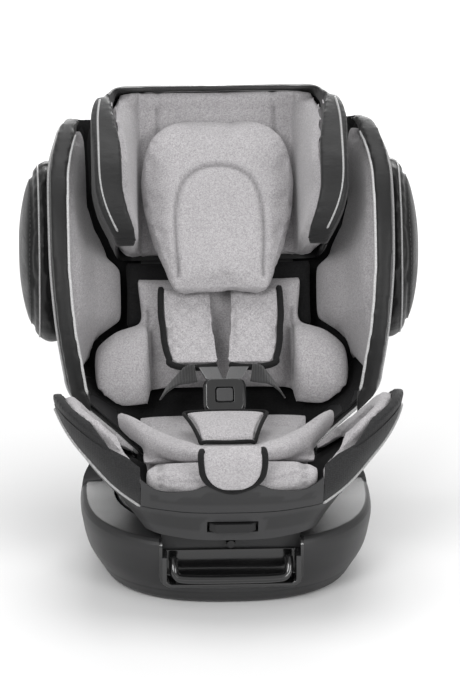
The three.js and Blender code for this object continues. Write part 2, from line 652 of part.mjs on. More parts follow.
// Station u, x of the pad's inner face.
const WING_INNER = [
  [-60, 178], [124, 178], [132, 132], [206, 132], [216, 148], [240, 160], [264, 172],
  [300, 181], [420, 183],
];
const WING_OUTER = 204; // x at which the slope meets the piping line
const WING_STATIONS = [-95, 30, 90, 123, 133, 170, 206, 216, 240, 264, 300, 345, 385, 470];
const wingSlope = loft(WING_STATIONS.map((u) => {
  const edge = lookUp(PIPING_N, u);
  const inner = lookUp(WING_INNER, u);
  const ring = mirrored([
    [inner, -80], [inner, 2],
    [inner + (WING_OUTER - inner) * 0.6, 2 + (edge - 2) * 0.5],
    [WING_OUTER, edge], [WING_OUTER, 320],
  ]);
  return { at: u, ring };
}), backAlongU);
addSides("back_wing_pad", "light",
  backSolid(9.4).subtract(wingSlope).subtract(beforeBack(0)).intersect(rearKeep),
  backPrismX(rect(-60, 400, -14, 240), 120, 320));
add("back_pad", "dark",
  backBandX(rect(62, HEAD_U0 - 2, -14, 0), 130).intersect(backSolid(22)));

// Side impact pods: egg-shaped rings in u and n, scaled at stations x.
const POD_ROWS = [
  [150, 0.9], [215, 0.97], [232, 1], [244, 0.94], [254, 0.84], [262, 0.68], [267, 0.5],
  [271, 0.26],
];
const podRing = (scale) =>
  times(20, (i) => {
    const angle = (2 * Math.PI * i) / 20;
    const cos = Math.cos(angle);
    return [228 + 130 * scale * cos, 18 + (101 + 7 * cos) * scale * Math.sin(angle)];
  });
const pod = loft(POD_ROWS.map(([x, scale]) => ({ at: x, ring: podRing(scale) })), backAlongX);
addSides("side_pod", "dark",
  pod.add(mirrorX(pod)).subtract(backSolid(-2)),
  box([200, 400], [-400, 500], [0, 800]));

// ---------------------------------------------------------------- headrest
// Half widths at stations u: at the rear, and at n = 90 to 130.
const HEAD_REAR_WIDTH = [
  [HEAD_U0, 140], [240, 150], [300, 160], [400, 160], [440, 152], [HEAD_U1, 142],
];
const HEAD_FRONT_WIDTH = [
  [HEAD_U0 - 60, 140], [HEAD_U0, 143], [236, 153], [264, 167], [300, 174], [392, 174],
  [433, 166], [HEAD_U1, 152],
];
// Station u, and the share of an inset by which the station moves down.
const HEAD_STATIONS = [
  [HEAD_U0, 0], [236, 0], [264, 0], [300, 0], [392, 0], [433, 0.6], [HEAD_U1, 1],
];
// The wings' front edge, u and n.
const HEAD_EDGE = [
  [217, 144], [240, 170], [286, 181], [338, 167], [392, 126], [433, 74], [455, 22],
];
const HEAD_ROLL = 34; // thickness of the wings' rolled front edges
const headRing = (u, depth) => {
  const front = lookUp(HEAD_FRONT_WIDTH, u);
  return mirrored([
    ...rearCorner(lookUp(HEAD_REAR_WIDTH, u), 28, 40, depth),
    [front - depth, 90], [front - depth, 130], [front - 4 - depth, 200],
  ]);
};
// Inset bodies run on below the headrest, so that its lower end stays open.
const headSolid = (depth) =>
  loft(HEAD_STATIONS.map(([u, share]) => {
    const extra = u === HEAD_U0 && depth > 0 ? 40 : 0;
    return { at: u - depth * share - extra, ring: headRing(u, depth) };
  }), backAlongU);
// Everything in front of the wings' edge moved back by depth.
const headFront = (depth) =>
  backBandX([
    [520, -80], [520, 300], [100, 300], [100, HEAD_EDGE[0][1] - depth],
    ...HEAD_EDGE.map(([u, n]) => [u - depth * 0.5, n - depth]),
    [HEAD_U1 + 1 - depth * 0.5, -80],
  ], 300);
const headLow = backBandX(rect(100, HEAD_U0, -80, 300), 300);
const beyondX = (x) =>
  box([-300, -x], [-300, 500], [0, 800]).add(box([x, 300], [-300, 500], [0, 800]));

// The wings' front edges are thick rolls; the shell and the pad leave room for them.
const headRolls = headSolid(0).subtract(headSolid(HEAD_ROLL))
  .intersect(headFront(26))
  .intersect(beyondX(118));
const rollRoom = headFront(26.8).intersect(beyondX(117.4));
add("headrest_cover", "dark",
  headSolid(0).subtract(headSolid(6))
    .add(headRolls)
    .subtract(headFront(0))
    .subtract(headLow));
add("headrest_shell", "black",
  headSolid(6.6).subtract(headSolid(10))
    .subtract(headFront(16))
    .subtract(rollRoom)
    .subtract(headLow));

// Behind the rolls the pad's inner faces slope in to the back.
const HEAD_SLOPE_STATIONS = [150, 217, 236, 264, 286, 338, 392, 433, 455, 475];
const headSlope = loft(HEAD_SLOPE_STATIONS.map((u) => {
  const inner = lookUp(HEAD_FRONT_WIDTH, u) - HEAD_ROLL;
  const edge = lookUp(HEAD_EDGE, u);
  const half = [[109, 0], [112, 10], [inner, Math.max(14, edge - 24)], [inner, 330]];
  return { at: u, ring: mirrored(half) };
}), backAlongU);
add("headrest_pad", "light", biggest(
  headSolid(10.6).add(headSolid(6.8).intersect(headFront(15)))
    .subtract(headSlope)
    .subtract(headFront(2))
    .subtract(rollRoom)
    .subtract(headLow)));

// Head pillow: in front of the pad, its lower end over the harness pads.
// Its profile in u and n; the front points swell with the fullness at each station x.
const PILLOW_REAR = [[157, 68], [200, 46], [260, 20], [330, 5], [400, 3], [410, 8]];
const PILLOW_FRONT = [[404, 12], [330, 24], [250, 44], [175, 68], [160, 70]];
const PILLOW_FULLNESS = [
  [-108, 0.72], [-92, 0.95], [-50, 1], [0, 0.86], [50, 1], [92, 0.95], [108, 0.72],
];
const PILLOW_HALF = [
  [74, 150], [77, 175], [92, 205], [103, 245], [108.5, 300], [105, 360],
  [95, 388], [76, 404], [50, 412],
]; // x, u
const pillow = loft(PILLOW_FULLNESS.map(([x, fullness]) => ({
  at: x, ring: [...PILLOW_REAR, ...shift(PILLOW_FRONT, 0, 24 * fullness)],
})), backAlongX);
add("head_pillow", "light",
  pillow.intersect(backPrismN(mirrored(PILLOW_HALF), -20, 120)));

// Height slider plate, and the carriage behind the shell that holds it.
add("headrest_slider", "metal", backBandX(rect(120, HEAD_U0 - 0.6, -27.6, -16), 70));
const CARRIAGE = [
  [-37, 322], [-37, 306], [-16, 288], [16, 288], [37, 306], [37, 322],
  [14, 322], [0, 306], [-14, 322],
]; // x, u
add("headrest_carriage", "black",
  backPrismN(CARRIAGE, -46, -36).add(backPrismN(rect(-9, 9, 294, 306), -37, -28.6)));
addPair("belt_guide", "black",
  backPrismN(rect(96, 136, 421, 448), -42, -28.8)
    .subtract(backPrismN(rect(104, 128, 428, 441), -60, -20)));

// ---------------------------------------------------------------- infant insert
// Back: a narrow and a wide centre pad between two bolsters, profiles in u and n.
const INSERT_CENTRE = [[48, 2], [24, 24], [60, 26], [196, 22], [200, 2]];
const INSERT_WIDE = [[112, 2], [112, 24], [190, 20], [198, 2]];
const BOLSTER = [
  [4, 58], [30, 76], [80, 73], [112, 54], [122, 30], [122, 2], [48, 2], [22, 22],
];
const bolster = backPrismX(BOLSTER, 97.5, 176.5);
add("insert_back", "light",
  backBandX(INSERT_CENTRE, 98).add(backBandX(INSERT_WIDE, 115))
    .add(bolster)
    .add(mirrorX(bolster))
    .intersect(backSolid(20.6))
    .intersect(seatSolid(22)));

// Seat: a pad with a raised bar and two leg pads. Profile in y, z.
const INSERT_SEAT = [
  [92, 163], [92, 174], [40, 172], [-40, 178], [-100, 190], [-124, 190],
  [-124, 181], [-100, 174], [-40, 164], [40, 160],
];
// Station x, centre y and z, half depth, half height.
const LEG_PAD_ROWS = [
  [30, -150, 208, 14, 12], [80, -118, 203, 24, 18], [120, -62, 204, 30, 20],
  [146, -8, 202, 22, 16],
];
const legPad = loft(LEG_PAD_ROWS.map(([x, y, z, depth, height]) => ({
  at: x,
  ring: [
    [y - depth, z - height], [y + depth, z - height], [y + depth * 0.9, z + height * 0.7],
    [y, z + height], [y - depth * 0.9, z + height * 0.7],
  ],
})), alongX);
add("insert_seat", "light", biggest(
  bandX(INSERT_SEAT, INSERT_HALF)
    .add(legPad)
    .add(mirrorX(legPad))
    .add(box([-INSERT_HALF, INSERT_HALF], [-90, -10], [176, 188]))
    .intersect(envelope(24))
    .intersect(seatSolid(10))
    .subtract(crotchSlot)));

// ---------------------------------------------------------------- harness
// Station u, centre n, half width, thickness.
const SHOULDER_PAD_ROWS = [
  [168, 46, 46, 20], [130, 63, 46, 20], [95, 80, 44, 19], [64, 96, 38, 17],
];
const SHOULDER_X = 46;
const shoulderPad = loft(SHOULDER_PAD_ROWS.map(([u, n, width, thickness]) => {
  const inner = SHOULDER_X - width, outer = SHOULDER_X + width, half = thickness / 2;
  const ring = [
    [inner + 6, -half], [outer - 14, -half], [outer - 8, 0],
    [outer - 14, half], [inner + 6, half], [inner + 2, 0],
  ];
  return { at: { u, n }, ring };
}), ({ u, n }, a, b) => onBack(a, u, n + b));
addPair("shoulder_pad", "light", shoulderPad);

// The buckle's face looks forward and up: t runs out of the face, and b runs up along it.
const BUCKLE = { y: 36, z: 218, tilt: 60 };
const onBuckle = (t, a, b) => {
  const cos = Math.cos(radians(BUCKLE.tilt)), sin = Math.sin(radians(BUCKLE.tilt));
  return [a, BUCKLE.y + b * cos - t * sin, BUCKLE.z + b * sin + t * cos];
};
// Rows: t, half width, half height.
const buckleLoft = (rows, radius) =>
  loft(rows.map(([t, halfA, halfB]) =>
    ({ at: t, ring: roundRect(halfA, halfB, radius, 2) })), onBuckle);
add("buckle_housing", "black",
  buckleLoft([[-12, 25, 22], [-8, 29, 22], [8, 29, 22], [12, 25, 22]], 8)
    .subtract(buckleLoft([[4, 12.5, 10.5], [20, 12.5, 10.5]], 3)));
add("buckle_button", "red", buckleLoft([[8.6, 11.9, 9.9], [13, 11, 9]], 3));
addPair("buckle_tongue", "metal",
  prism(onBuckle)([[1.5, 22.6], [24, 22.6], [34, 40], [8, 40]], -3, 3));

// Webbing.
const SHOULDER_LINE = [
  [40, 196, 32.5], [40, 168, 34], [40, 130, 51], [38, 95, 68.5], [34, 66, 84],
]; // x, u, n
addPair("shoulder_strap", "web", strap(SHOULDER_LINE.map((p) => onBack(...p)), 30, 2));
const LAP_LINE = [[38, 57, 244], [56, 66, 236], [70, 84, 218], [80, 104, 198]]; // x, y, z
const LAP_WIDTH_DIRECTIONS = [[0.3, 0.5, 1], [-0.5, 0.5, 1], [-0.6, 0.6, 0.8], [-0.5, 0.8, 0.6]];
addPair("lap_strap", "web", strap(LAP_LINE, 24, 2, LAP_WIDTH_DIRECTIONS));
add("crotch_strap", "web",
  strap([[0, 10, 140], [0, 10, 178], [0, 14, 190], [0, 22, 197.5]], 36, 3));

// Crotch pad: y, middle z, and the offset from it at full thickness. It narrows forwards.
const CROTCH_PAD = [
  [6, 204, -5], [8, 204, 6], [-30, 203, 6], [-68, 196, 5], [-72, 194, 0],
  [-68, 196, -5], [-30, 203, -6],
];
const CROTCH_PAD_FULLNESS = [[-52, 0.6], [-46, 1], [46, 1], [52, 0.6]]; // x, share
add("crotch_pad", "light",
  loft(CROTCH_PAD_FULLNESS.map(([x, share]) => ({
    at: x, ring: CROTCH_PAD.map(([y, z, offset]) => [y, z + offset * share]),
  })), (x, y, z) => [x * (0.8 + (0.2 * (y + 72)) / 80), y, z]));

// Straps behind the backrest, x and u, at one depth in the shell's channel.
const REAR_LINE = [[57, 295], [52, 240], [40, 150], [34, 95]];
addPair("rear_strap", "web", strap(REAR_LINE.map(([x, u]) => onBack(x, u, -41)), 40, 2));

// Adjuster strap on the middle of the seat, y and z, and its button on the nose.
const ADJUSTER_LINE = [
  [-191, 211.3], [-180, 206.5], [-164, 199], [-148, 193.5], [-124, 193.2], [-100, 193],
  [-84, 189.5],
];
const ADJUSTER_BUTTON = [
  [-194, 217.5], [-194, 226], [-199, 229], [-204, 228], [-205.6, 222], [-205, 218.5],
];
add("adjuster_strap", "web", strap(ADJUSTER_LINE.map(([y, z]) => [0, y, z]), 24, 2));
add("harness_adjuster_button", "black", bandX(ADJUSTER_BUTTON, 15));

export default root;
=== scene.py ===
"""Child car seat on a round ISOFIX base.

The floor is z = 0, the front faces -Y, "right" is +X, and the base's upright axis is x = y = 0.
Shapes are drawn in millimetres and stored in metres.
"""
import math

import bmesh
import bpy
import numpy as np
from mathutils import Matrix, Vector
from mathutils.bvhtree import BVHTree
from mathutils.kdtree import KDTree


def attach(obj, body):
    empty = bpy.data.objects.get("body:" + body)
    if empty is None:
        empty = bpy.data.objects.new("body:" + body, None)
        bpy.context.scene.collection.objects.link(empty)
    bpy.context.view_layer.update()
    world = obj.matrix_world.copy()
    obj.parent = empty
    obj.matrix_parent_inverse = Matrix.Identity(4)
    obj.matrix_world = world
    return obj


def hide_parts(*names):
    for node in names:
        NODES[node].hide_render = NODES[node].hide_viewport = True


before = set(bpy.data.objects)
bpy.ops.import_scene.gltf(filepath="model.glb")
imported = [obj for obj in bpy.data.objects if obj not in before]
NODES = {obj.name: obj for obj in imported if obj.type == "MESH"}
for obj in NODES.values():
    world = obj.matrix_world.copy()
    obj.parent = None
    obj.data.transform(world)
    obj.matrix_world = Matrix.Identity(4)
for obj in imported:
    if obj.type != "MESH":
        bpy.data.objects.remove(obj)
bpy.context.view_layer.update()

MM = 0.001
COLLECTION = bpy.context.scene.collection
SCRATCH = "t"  # name of the solids used only to build others
SIDES = ((1, "right"), (-1, "left"))

# ------------------------------------------------------------------ driving dimensions (mm)
# The backrest's own axes: x, u up its slant, n forwards out of its face.
LEAN = math.radians(26.3)  # from the vertical
LEAN_SIN, LEAN_COS = math.sin(LEAN), math.cos(LEAN)
BACK_Y, BACK_Z = 143, 150  # where u = n = 0
OUT_OF_BACK = (0, -LEAN_COS, LEAN_SIN)
FORWARD_UP = (0, -0.94, 0.34)
STRAIGHT_UP = (0, 0, 1)

PIVOT_Z = 330  # centre of the seat's round underside

# Seat envelope: z, half width at the rear, half width at the front
ENVELOPE = [
    (108, 100, 132), (125, 122, 142), (150, 150, 162), (175, 180, 186), (200, 204, 204),
    (225, 221, 221), (250, 232, 232), (300, 240, 240), (640, 240, 240)]
# z, depth from the axis to the front
FRONT_DEPTH = [(108, 214), (150, 222), (180, 229), (250, 232), (640, 232)]
# Plan of the front: y over the front depth, x over the half width
PLAN = [(-1, 0.27), (-0.94, 0.56), (-0.84, 0.79), (-0.66, 0.93), (-0.46, 0.985), (-0.26, 1),
        (0, 0.98)]
# Plan of the rear: y, x over the half width low down, and how much it grows higher up
REAR_PLAN = [(60, 0.94, 0.06), (110, 0.84, 0.18), (160, 0.69, 0.34), (300, 0.68, 0.36),
             (430, 0.68, 0.36)]

# Side-view lines (y, z)
SEAT_PIPING = [
    (37, 120), (22, 145), (5, 172), (-22, 205), (-52, 232), (-80, 246), (-104, 253), (-130, 255),
    (-149, 252), (-172, 245), (-190, 234), (-205, 215), (-214, 190), (-220, 166)]
# Lower edge of the seat's dark fabric rim: down the side, round the front corner, to the apron
RIM_LINE = SEAT_PIPING[:6] + [
    (-104, 252), (-122, 246), (-138, 233), (-150, 218), (-161, 201), (-171, 185), (-180, 169),
    (-187, 157), (-192, 149)]
BACK_PIPING = [
    (63, 126), (66, 165), (69, 205), (74, 272), (82, 307), (92, 341), (114, 397), (142, 444),
    (178, 482), (225, 507), (282, 516), (338, 512)]

# Backrest half widths (u, x), at its rear and at its front
BACK_REAR_WIDTH = [(-80, 190), (0, 196), (150, 203), (300, 210), (380, 212), (430, 205)]
BACK_FRONT_WIDTH = [(-80, 198), (0, 208), (120, 226), (208, 232), (313, 233), (380, 224),
                    (430, 212)]
BACK_REAR, BACK_CORNER = -52, 46  # n of the rear face, radius of its upright corners

# Headrest half widths (u, x), at its rear and at its front, and its front edge (u, n)
HEAD_REAR_WIDTH = [(157, 138), (217, 140), (240, 150), (300, 160), (400, 160), (440, 152),
                   (455, 142)]
HEAD_FRONT_WIDTH = [(157, 140), (217, 143), (236, 153), (264, 167), (300, 174), (392, 174),
                    (433, 166), (455, 152)]
HEAD_EDGE = [(217, 144), (240, 170), (286, 181), (338, 167), (392, 126), (433, 74), (455, 22)]
# Thickness of the roll round the headrest's front (u, thickness)
HEAD_ROLL = [(217, 26), (236, 33), (262, 37), (345, 38), (392, 33), (418, 25), (438, 15),
             (455, 7)]
HEAD_LOW, HEAD_HIGH = 217, 455
HEAD_REAR, HEAD_CORNER = -28, 40


def on_back(x, u, n):
    return (x, BACK_Y + LEAN_SIN * u - LEAN_COS * n, BACK_Z + LEAN_COS * u + LEAN_SIN * n)


def to_back(y, z):
    """The backrest's u and n at y, z."""
    dy, dz = y - BACK_Y, z - BACK_Z
    return LEAN_SIN * dy + LEAN_COS * dz, -LEAN_COS * dy + LEAN_SIN * dz


BACK_PIPING_UN = sorted(to_back(y, z) for y, z in BACK_PIPING)


# ------------------------------------------------------------------ curves
def curve(table, at, column=1):
    """Monotone cubic through one column of a table, against its first column."""
    xs = [row[0] for row in table]
    ys = [row[column] for row in table]
    if at <= xs[0]:
        return ys[0]
    if at >= xs[-1]:
        return ys[-1]
    gaps = range(len(xs) - 1)
    slopes = [(ys[i + 1] - ys[i]) / (xs[i + 1] - xs[i]) for i in gaps]
    inner = [0 if a * b <= 0 else 2 * a * b / (a + b) for a, b in zip(slopes, slopes[1:])]
    tangents = [slopes[0]] + inner + [slopes[-1]]
    i = max(k for k in gaps if xs[k] <= at)
    h = xs[i + 1] - xs[i]
    s = (at - xs[i]) / h
    return ((2 * s**3 - 3 * s**2 + 1) * ys[i] + (s**3 - 2 * s**2 + s) * h * tangents[i]
            + (-2 * s**3 + 3 * s**2) * ys[i + 1] + (s**3 - s**2) * h * tangents[i + 1])


def straight(table, at):
    return float(np.interp(at, [row[0] for row in table], [row[1] for row in table]))


def run_length(points):
    steps = np.linalg.norm(np.diff(points, axis=0), axis=1)
    return np.concatenate([[0], np.cumsum(steps)])


def resample(points, run, stations):
    columns = [np.interp(stations, run, points[:, k]) for k in range(points.shape[1])]
    return np.stack(columns, axis=1)


def smooth_path(points, step=3.0, closed=False):
    """Catmull-Rom through 2-D or 3-D points, resampled evenly."""
    p = [np.array(tuple(q), float) for q in points]
    n = len(p)
    out = []
    for i in range(n if closed else n - 1):
        a = p[(i - 1) % n] if closed or i > 0 else 2 * p[0] - p[1]
        b, c = p[i], p[(i + 1) % n]
        d = p[(i + 2) % n] if closed or i + 2 < n else 2 * p[-1] - p[-2]
        for k in range(12):
            t = k / 12
            out.append(0.5 * (2 * b + (c - a) * t + (2 * a - 5 * b + 4 * c - d) * t * t
                              + (3 * b - a - 3 * c + d) * t**3))
    out.append(p[0] if closed else p[-1])
    out = np.array(out)
    run = run_length(out)
    count = max(2, int(round(run[-1] / step)))
    even = resample(out, run, np.linspace(0, run[-1], count + 1))
    return even[:-1] if closed else even


def even_out(path, times):
    """Softens kinks, ends fixed."""
    p = [Vector(q) for q in path]
    for _ in range(times):
        inner = [(p[i - 1] + p[i] * 2 + p[i + 1]) / 4 for i in range(1, len(p) - 1)]
        p = [p[0]] + inner + [p[-1]]
    return p


def offset_line(line, distance):
    """A side-view line smoothed and moved sideways."""
    path = smooth_path(line, 5.0)
    out = []
    for i, p in enumerate(path):
        a, b = path[max(0, i - 1)], path[min(len(path) - 1, i + 1)]
        t = (b - a) / np.linalg.norm(b - a)
        out.append((p[0] + distance * t[1], p[1] - distance * t[0]))
    return out


def mirror(points):
    """The other half of a symmetrical outline, in reverse order."""
    return [(-x, v) for x, v in reversed(points)]


def turn(count):
    return np.linspace(0, 2 * math.pi, count + 1)[:-1]


def squared(value, power):
    """A sine or cosine flattened towards a rounded rectangle."""
    return math.copysign(abs(value) ** power, value)


def ease(t):
    return t * t * (3 - 2 * t)


# ------------------------------------------------------------------ material nodes
class Material:
    """A Principled material with short calls for the nodes that feed it."""

    def __init__(self, name):
        self.data = bpy.data.materials.new(name)
        self.data.use_nodes = True
        self.tree = self.data.node_tree
        self.tree.nodes.clear()
        output = self.node("ShaderNodeOutputMaterial")
        self.shader = self.node("ShaderNodeBsdfPrincipled")
        self.put(output.inputs[0], self.shader.outputs[0])
        self.place = self.node("ShaderNodeTexCoord").outputs["Object"]

    def node(self, kind, **settings):
        node = self.tree.nodes.new(kind)
        for key, value in settings.items():
            setattr(node, key, value)
        return node

    def put(self, socket, value):
        """Links a node output, or sets a plain value."""
        if hasattr(value, "is_output"):
            self.tree.links.new(value, socket)
        else:
            socket.default_value = value

    def put_colour(self, socket, colour):
        self.put(socket, colour if hasattr(colour, "is_output") else (*colour, 1.0))

    def noise(self, scale, detail=3.0, roughness=0.5, vector=None):
        node = self.node("ShaderNodeTexNoise")
        self.put(node.inputs["Vector"], vector or self.place)
        node.inputs["Scale"].default_value = scale
        node.inputs["Detail"].default_value = detail
        node.inputs["Roughness"].default_value = roughness
        return node.outputs["Fac"]

    def stretched(self, scale, detail):
        node = self.node("ShaderNodeMapping")
        node.inputs["Scale"].default_value = scale
        self.put(node.inputs["Vector"], self.place)
        return self.noise(scale=1.0, detail=detail, vector=node.outputs[0])

    def cells(self, scale):
        node = self.node("ShaderNodeTexVoronoi", feature="DISTANCE_TO_EDGE")
        self.put(node.inputs["Vector"], self.place)
        node.inputs["Scale"].default_value = scale
        return node.outputs["Distance"]

    def wave(self, pitch, direction, distortion):
        """Bands with this pitch in metres."""
        node = self.node("ShaderNodeTexWave", wave_type="BANDS", bands_direction=direction)
        self.put(node.inputs["Vector"], self.place)
        node.inputs["Scale"].default_value = 0.314159 / pitch
        node.inputs["Distortion"].default_value = distortion
        node.inputs["Detail"].default_value = 1
        return node.outputs["Fac"]

    def calc(self, operation, a, b):
        node = self.node("ShaderNodeMath", operation=operation)
        self.put(node.inputs[0], a)
        self.put(node.inputs[1], b)
        return node.outputs[0]

    def remap(self, value, span, to):
        node = self.node("ShaderNodeMapRange")
        for socket, item in zip(node.inputs, (value, *span, *to)):
            self.put(socket, item)
        return node.outputs[0]

    def mix(self, factor, a, b):
        node = self.node("ShaderNodeMix", data_type="RGBA", blend_type="MIX")
        self.put(node.inputs[0], factor)
        self.put_colour(node.inputs[6], a)
        self.put_colour(node.inputs[7], b)
        return node.outputs[2]

    def bump(self, height, strength, distance, normal=None):
        node = self.node("ShaderNodeBump")
        node.inputs["Strength"].default_value = strength
        node.inputs["Distance"].default_value = distance
        self.put(node.inputs["Height"], height)
        if normal:
            self.put(node.inputs["Normal"], normal)
        return node.outputs[0]

    def seam(self, strength):
        """Painted shade along the pressed grooves, as marked on the mesh."""
        mark = self.node("ShaderNodeAttribute", attribute_name="seam").outputs["Fac"]
        return self.calc("MULTIPLY", mark, strength)

    def finish(self, colour, roughness, normal=None, **inputs):
        self.put_colour(self.shader.inputs["Base Color"], colour)
        self.put(self.shader.inputs["Roughness"], roughness)
        if normal:
            self.put(self.shader.inputs["Normal"], normal)
        for key, value in inputs.items():
            self.put(self.shader.inputs[key.replace("_", " ")], value)
        return self.data


def grey(value, tint=(1, 1, 1)):
    return tuple(value * c for c in tint)


# ------------------------------------------------------------------ material families
def fabric(name, base, tint, contrast=0.5, pitch=0.0022, sheen=0.25, rough=0.92, seam=0.55):
    """Melange knit: light and dark yarns, a two-way weave, soft clouds, painted shade along the
    sewn grooves.
    """
    m = Material(name)
    yarn = m.noise(scale=760, detail=2, roughness=0.7)
    fleck = m.noise(scale=380, detail=3, roughness=0.65)
    cloud = m.noise(scale=16, detail=2)
    blend = m.calc("ADD", m.calc("MULTIPLY", yarn, 0.5), m.calc("MULTIPLY", fleck, 0.5))
    blend = m.remap(blend, span=(0.36, 0.64), to=(0.0, 1.0))
    dark, light = base * (1 - contrast), base * (1 + contrast * 0.75)
    colour = m.mix(blend, grey(dark, tint), grey(light, tint))
    clouds = m.remap(cloud, span=(0.3, 0.7), to=(0.0, 0.16))
    colour = m.mix(clouds, colour, grey(base * 0.55, tint))
    # painted shade along the pressed seams
    colour = m.mix(m.seam(seam), colour, grey(base * 0.12, tint))
    weave = m.calc("MULTIPLY", m.wave(pitch, "X", distortion=0.6),
                   m.wave(pitch, "Z", distortion=0.6))
    normal = m.bump(weave, strength=0.35, distance=0.0006)
    normal = m.bump(yarn, strength=0.35, distance=0.0008, normal=normal)
    puckers = m.noise(scale=55, detail=2)
    normal = m.bump(puckers, strength=0.12, distance=0.004, normal=normal)
    return m.finish(colour, rough, normal, Sheen_Weight=sheen, Sheen_Roughness=0.5,
                    Specular_IOR_Level=0.2)


def leather(name, base, rough=0.42, fold=0.25, spec=0.5):
    """Leatherette: pebbled grain with painted shade in its hollows, creases, uneven polish."""
    m = Material(name)
    tint = (1, 1, 1.02)
    pebble = m.cells(scale=1100)
    cloud = m.noise(scale=14, detail=3, roughness=0.55)
    crease = m.stretched(scale=(30, 30, 95), detail=3.0)
    clouds = m.remap(cloud, span=(0.3, 0.7), to=(0.0, 0.55))
    colour = m.mix(clouds, grey(base, tint), grey(base * 1.6, tint))
    # painted shade in the hollows of the pebbled grain
    pebble_hollow_shade = m.remap(pebble, span=(0.0, 0.12), to=(0.35, 0.0))
    colour = m.mix(pebble_hollow_shade, colour, grey(base * 0.35, tint))
    # painted shade along the pressed seams
    colour = m.mix(m.seam(0.6), colour, grey(base * 0.2, tint))
    polish = m.noise(scale=40, detail=3)
    roughness = m.remap(polish, span=(0.3, 0.7), to=(rough - 0.06, rough + 0.08))
    normal = m.bump(pebble, strength=0.3, distance=0.0006)
    normal = m.bump(crease, strength=fold, distance=0.0035, normal=normal)
    return m.finish(colour, roughness, normal, Coat_Weight=0.05, Coat_Roughness=0.35,
                    Sheen_Weight=0.1, Specular_IOR_Level=spec)


def plastic(name, base, rough, tint=(1, 1, 1.03), grain=0.18, wear=0.3, coat=0.0, spec=0.5,
            scale=1500):
    """Moulded plastic: fine grain, faint flow marks, edges rubbed lighter, scratches."""
    m = Material(name)
    cloud = m.noise(scale=9, detail=3)
    fine = m.noise(scale=scale, detail=2, roughness=0.6)
    scratch = m.stretched(scale=(6, 900, 14), detail=2.0)
    clouds = m.remap(cloud, span=(0.3, 0.7), to=(0.0, 0.35))
    colour = m.mix(clouds, grey(base, tint), grey(base * 1.3, tint))
    pointiness = m.node("ShaderNodeNewGeometry").outputs["Pointiness"]
    edge = m.remap(pointiness, span=(0.505, 0.56), to=(0.0, wear))
    colour = m.mix(edge, colour, grey(base * 2.2 + 0.01, tint))
    roughness = m.remap(cloud, span=(0.3, 0.7), to=(rough - 0.03, rough + 0.05))
    scratches = m.remap(scratch, span=(0.62, 0.75), to=(0.0, 0.08))
    roughness = m.calc("ADD", roughness, scratches)
    normal = m.bump(fine, strength=grain, distance=0.0003)
    flow = m.noise(scale=24, detail=1)
    normal = m.bump(flow, strength=0.03, distance=0.004, normal=normal)
    return m.finish(colour, roughness, normal, Coat_Weight=coat, Coat_Roughness=0.08,
                    Specular_IOR_Level=spec)


def metal(name, base, rough):
    """Brushed metal with soft stains."""
    m = Material(name)
    tint = (1, 1, 1.01)
    brush = m.stretched(scale=(900, 40, 900), detail=3.0)
    cloud = m.noise(scale=30, detail=3)
    stains = m.remap(cloud, span=(0.35, 0.7), to=(0.0, 0.5))
    colour = m.mix(stains, grey(base, tint), grey(base * 0.72, tint))
    roughness = m.remap(brush, span=(0.3, 0.7), to=(rough - 0.07, rough + 0.12))
    return m.finish(colour, roughness, m.bump(brush, strength=0.12, distance=0.0002),
                    Metallic=1.0)


def harness_web(name, base):
    """Harness webbing: ribs along the strap crossed by a fine weft, and bright fuzz."""
    m = Material(name)
    tint = (1, 1, 1.02)
    rib = m.wave(0.0036, "X", distortion=0.2)
    weft = m.wave(0.0016, "Z", distortion=0.4)
    yarn = m.noise(scale=900, detail=2, roughness=0.6)
    colour = m.mix(rib, grey(base * 0.6, tint), grey(base * 1.6, tint))
    fuzz = m.remap(yarn, span=(0.4, 0.7), to=(0.0, 0.4))
    colour = m.mix(fuzz, colour, grey(base * 2.6, tint))
    normal = m.bump(rib, strength=0.5, distance=0.0007)
    normal = m.bump(weft, strength=0.4, distance=0.0005, normal=normal)
    return m.finish(colour, 0.62, normal, Sheen_Weight=0.3, Specular_IOR_Level=0.4)


def cord(name, base, metallic, rough):
    """Twisted cord or thread."""
    m = Material(name)
    twist = m.wave(0.0021, "DIAGONAL", distortion=0.5)
    fleck = m.remap(m.noise(scale=500, detail=2), span=(0.35, 0.65), to=(0.0, 0.6))
    colour = m.mix(fleck, grey(base), grey(base * 1.5))
    return m.finish(colour, rough, m.bump(twist, strength=0.4, distance=0.0005),
                    Metallic=metallic)


LIGHT_TINT = (1.0, 0.968, 0.992)
melange = fabric("melange_light", base=0.40, tint=LIGHT_TINT, contrast=0.3)
pad_fabric = fabric("harness_pad_fabric", base=0.42, tint=LIGHT_TINT, contrast=0.36,
                    pitch=0.0034)
rim_fabric = fabric("rim_fabric", base=0.020, tint=(1, 1, 1.04), pitch=0.003, sheen=0.08,
                    rough=0.7, seam=0.7)
black_fabric = fabric("black_binding", base=0.009, tint=(1, 1, 1.05), pitch=0.0018, sheen=0.05,
                      rough=0.85)
leatherette = leather("leatherette", base=0.010, spec=0.22)
leather_head = leather("headrest_leatherette", base=0.011, rough=0.46, fold=0.5, spec=0.24)
leather_pod = leather("pod_leatherette", base=0.007, fold=0.35, spec=0.22)
silver = cord("silver_piping", base=0.30, metallic=0.25, rough=0.4)
pale_piping = cord("pale_piping", base=0.42, metallic=0.0, rough=0.7)
shell_plastic = plastic("shell_plastic", base=0.022, rough=0.42, spec=0.35)
base_plastic = plastic("base_plastic", base=0.020, rough=0.38, wear=0.2, spec=0.38)
black_plastic = plastic("black_plastic", base=0.008, rough=0.45, spec=0.3)
gloss_black = plastic("gloss_black", base=0.006, rough=0.16, grain=0.04, wear=0.5, coat=0.6)
webbing = harness_web("webbing", base=0.018)
steel = metal("steel", base=0.55, rough=0.3)
